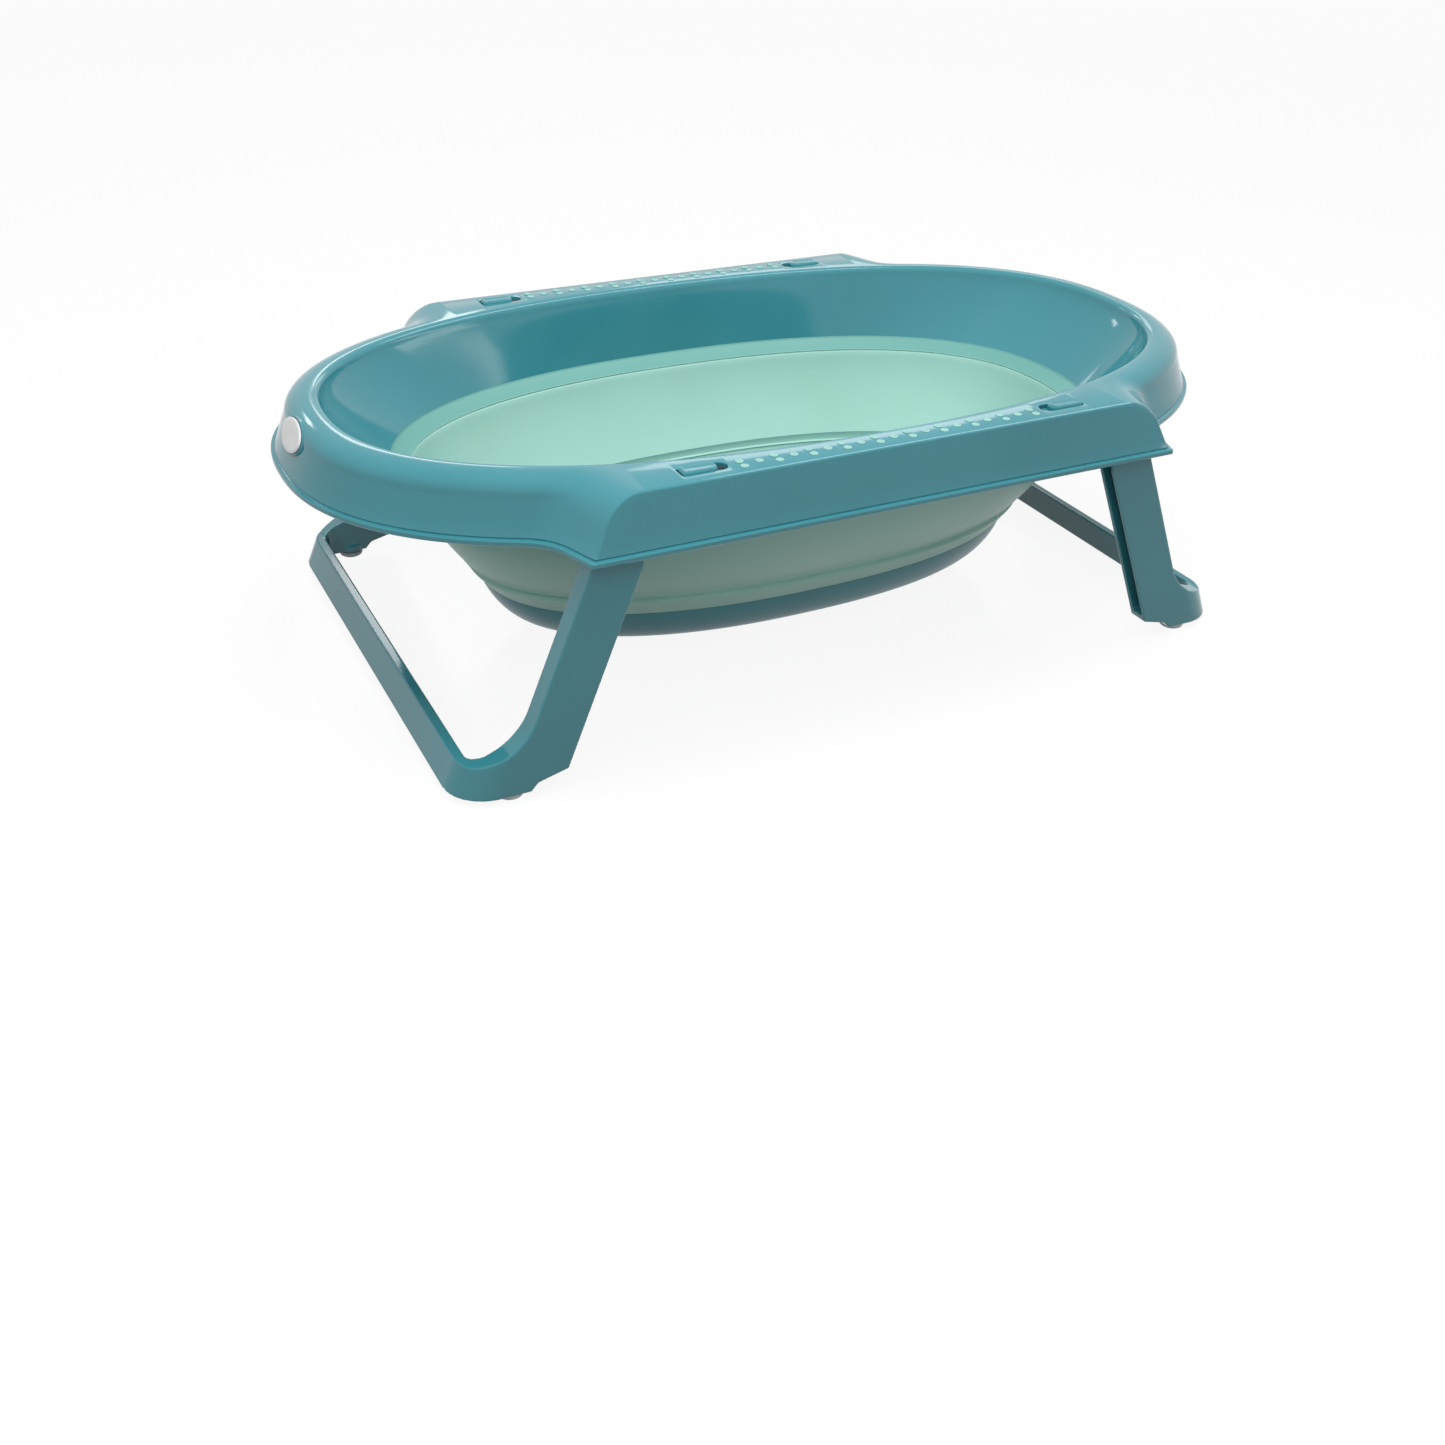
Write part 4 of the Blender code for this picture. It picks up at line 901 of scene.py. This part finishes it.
# %% Keepers and spring stops
KEEPER, KEEPER_HALF, STOP_X, STOP_HALF, CLEAR = 0.002, TAB_LENGTH / 3, 0.13455, 0.005, 0.0003
for end, _ in ENDS:
    for side, _ in SIDES:
        for edge in (-1, 1):
            plate_y = side * LOCK_Y + edge * (TAB_WIDTH / 2 + SLIDE_MARGIN)
            post_in, post_out = plate_y + edge * CLEAR, plate_y + edge * (CLEAR + KEEPER)
            lip, shelf = plate_y - edge * KEEPER, PLATE_LOW - CLEAR
            hook = [(post_out, DECK - WALL / 2), (post_out, shelf - KEEPER), (lip, shelf - KEEPER)]
            hook += [(lip, shelf), (post_in, shelf), (post_in, DECK - WALL / 2)]
            outline = [Vector((end * LOCK_X - KEEPER_HALF, y, z)) for y, z in hook]
            ears.append(extrude_outline("keeper", outline, (2 * KEEPER_HALF, 0, 0)))
        x, y = end * (STOP_X + KEEPER / 2), side * LOCK_Y
        corners = ((-1, -1), (1, -1), (1, 1), (-1, 1))
        block = [Vector((x + i * KEEPER / 2, y + j * STOP_HALF, PLATE_LOW)) for i, j in corners]
        ears.append(extrude_outline("stop", block, (0, 0, DECK - WALL / 2 - PLATE_LOW)))
ribs = join_pieces("rim_ribs", ears)
soften_edges(ribs, 0.0004, 2)
shade(ribs, 35)
settle(ribs, teal_satin, "teal_plastic", "rim")

# %% [markdown]
# ## Floor, light and camera
#
# The tub stands on a plain white floor that keeps a faint shadow and reflection. The floor and the sky
# are full white where they are seen or mirrored, and much less where they light, so that the tub keeps
# its shading. Three of the lamps are wide bounces that only light. The others are softboxes of which the
# gloss shows an image: strips and panels that draw the thin lines on the edges.

# %% Floor and sky
def seen_rays(tree):
    """One for rays that see the white, from the camera or mirrored, and nought for those that light."""
    path = add_node(tree, "ShaderNodeLightPath").outputs
    links = {0: path["Is Glossy Ray"], 1: path["Is Transmission Ray"]}
    mirrored = add_node(tree, "ShaderNodeMath", links=links, operation="MAXIMUM")
    links = {0: mirrored.outputs[0], 1: path["Is Camera Ray"]}
    return add_node(tree, "ShaderNodeMath", links=links, operation="MAXIMUM")


bpy.ops.object.select_all(action="DESELECT")
bpy.ops.mesh.primitive_plane_add(size=12, location=(0, 0, -0.0002))
floor = bpy.context.object
floor.name = "studio_floor"
floor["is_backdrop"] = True
sweep = bpy.data.materials.new("white studio sweep")
sweep.use_nodes = True
tree = sweep.node_tree
shader = tree.nodes["Principled BSDF"]
shader.inputs["Roughness"].default_value = 0.15
seen = seen_rays(tree)
lit_and_seen = {6: srgb("#8c8c8c"), 7: srgb("#ffffff")}
white = add_node(tree, "ShaderNodeMix", lit_and_seen, {0: seen.outputs[0]}, data_type="RGBA")
tree.links.new(white.outputs[2], shader.inputs["Base Color"])
mostly = add_node(tree, "ShaderNodeMath", {1: 0.9}, {0: seen.outputs[0]}, operation="MULTIPLY")
glow = add_node(tree, "ShaderNodeEmission", {"Color": (1, 1, 1, 1), "Strength": 1.0})
links = {0: mostly.outputs[0], 1: shader.outputs[0], 2: glow.outputs[0]}
mix = add_node(tree, "ShaderNodeMixShader", links=links)
tree.links.new(mix.outputs[0], tree.nodes["Material Output"].inputs["Surface"])
floor.data.materials.append(sweep)

sky = bpy.data.worlds.new("studio")
bpy.context.scene.world = sky
sky.use_nodes = True
tree = sky.node_tree
seen = seen_rays(tree)
level = add_node(tree, "ShaderNodeMapRange", {"To Min": 0.33, "To Max": 1.0}, {"Value": seen.outputs[0]})
background = tree.nodes["Background"]
background.inputs["Color"].default_value = (1, 1, 1, 1)
tree.links.new(level.outputs["Result"], background.inputs["Strength"])


# %% Lamps
TUB_MIDDLE = (0, 0, 0.2)


def softbox(name, place, width, height, power, lean=0, mirrored=True):
    """A large lamp that faces the tub, leans by some degrees, and is or isn't mirrored in the gloss."""
    light = bpy.data.lights.new(name, "AREA")
    light.shape, light.size, light.size_y, light.energy = "RECTANGLE", width, height, power
    lamp = bpy.data.objects.new(name, light)
    bpy.context.scene.collection.objects.link(lamp)
    facing = (Vector(TUB_MIDDLE) - Vector(place)).to_track_quat("-Z", "Y").to_matrix().to_4x4()
    lamp.matrix_world = Matrix.Translation(place) @ facing @ Matrix.Rotation(math.radians(lean), 4, "Z")
    lamp.visible_camera, lamp.visible_glossy = False, mirrored
    print(f"{name}: {power / (math.pi * width * height):.1f} times white")


softbox("front bounce", (-0.9, -1.6, 1.7), 2.0, 1.2, 17, mirrored=False)
softbox("top bounce", (-0.1, -0.25, 1.6), 1.2, 0.8, 17, mirrored=False)
softbox("left bounce", (-1.75, -0.35, 1.2), 1.2, 1.0, 6, mirrored=False)
softbox("right strip", (1.05, -0.05, 1.75), 0.5, 0.9, 7)
softbox("low right strip", (1.83, -1.19, 0.46), 0.95, 0.26, 2.2, 18)
softbox("back panel", (0.42, 2.5, 1.45), 0.56, 0.34, 2.4)
softbox("back window", (-0.73, 2.4, 1.40), 0.30, 0.16, 1.0)
softbox("back right panel", (1.4, 2.07, 1.27), 0.97, 0.45, 2.4)

# %% Camera
PHOTO, SENSOR = 1445, 36.0
FOCAL, CENTRE_X, CENTRE_Y = 1671.326, 688.396, 356.278
AZIMUTH, ELEVATION, ROLL = math.radians(-26.913), math.radians(20.049), math.radians(1.607)
CAMERA_PLACE = (-0.6688, -1.1823, DECK + 0.4865)
level_back = Vector((math.sin(AZIMUTH), -math.cos(AZIMUTH), 0))
back = level_back * math.cos(ELEVATION) + Vector((0, 0, math.sin(ELEVATION)))
level_right = Vector((math.cos(AZIMUTH), math.sin(AZIMUTH), 0))
level_up = back.cross(level_right)
right = math.cos(ROLL) * level_right + math.sin(ROLL) * level_up
upward = math.cos(ROLL) * level_up - math.sin(ROLL) * level_right
camera = bpy.data.objects.new("camera", bpy.data.cameras.new("camera"))
bpy.context.scene.collection.objects.link(camera)
camera.data.sensor_width = SENSOR
camera.data.lens = FOCAL / PHOTO * SENSOR
camera.data.shift_x = (PHOTO / 2 - CENTRE_X) / PHOTO
camera.data.shift_y = (CENTRE_Y - PHOTO / 2) / PHOTO
turn = Matrix((right, upward, back)).transposed().to_4x4()
camera.matrix_world = Matrix.Translation(CAMERA_PLACE) @ turn
bpy.context.scene.camera = camera
bpy.context.scene.view_settings.view_transform = "Standard"

# %% Sizes, and the end
low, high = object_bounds()
print("visual box", [round(v, 4) for v in low], [round(v, 4) for v in high])
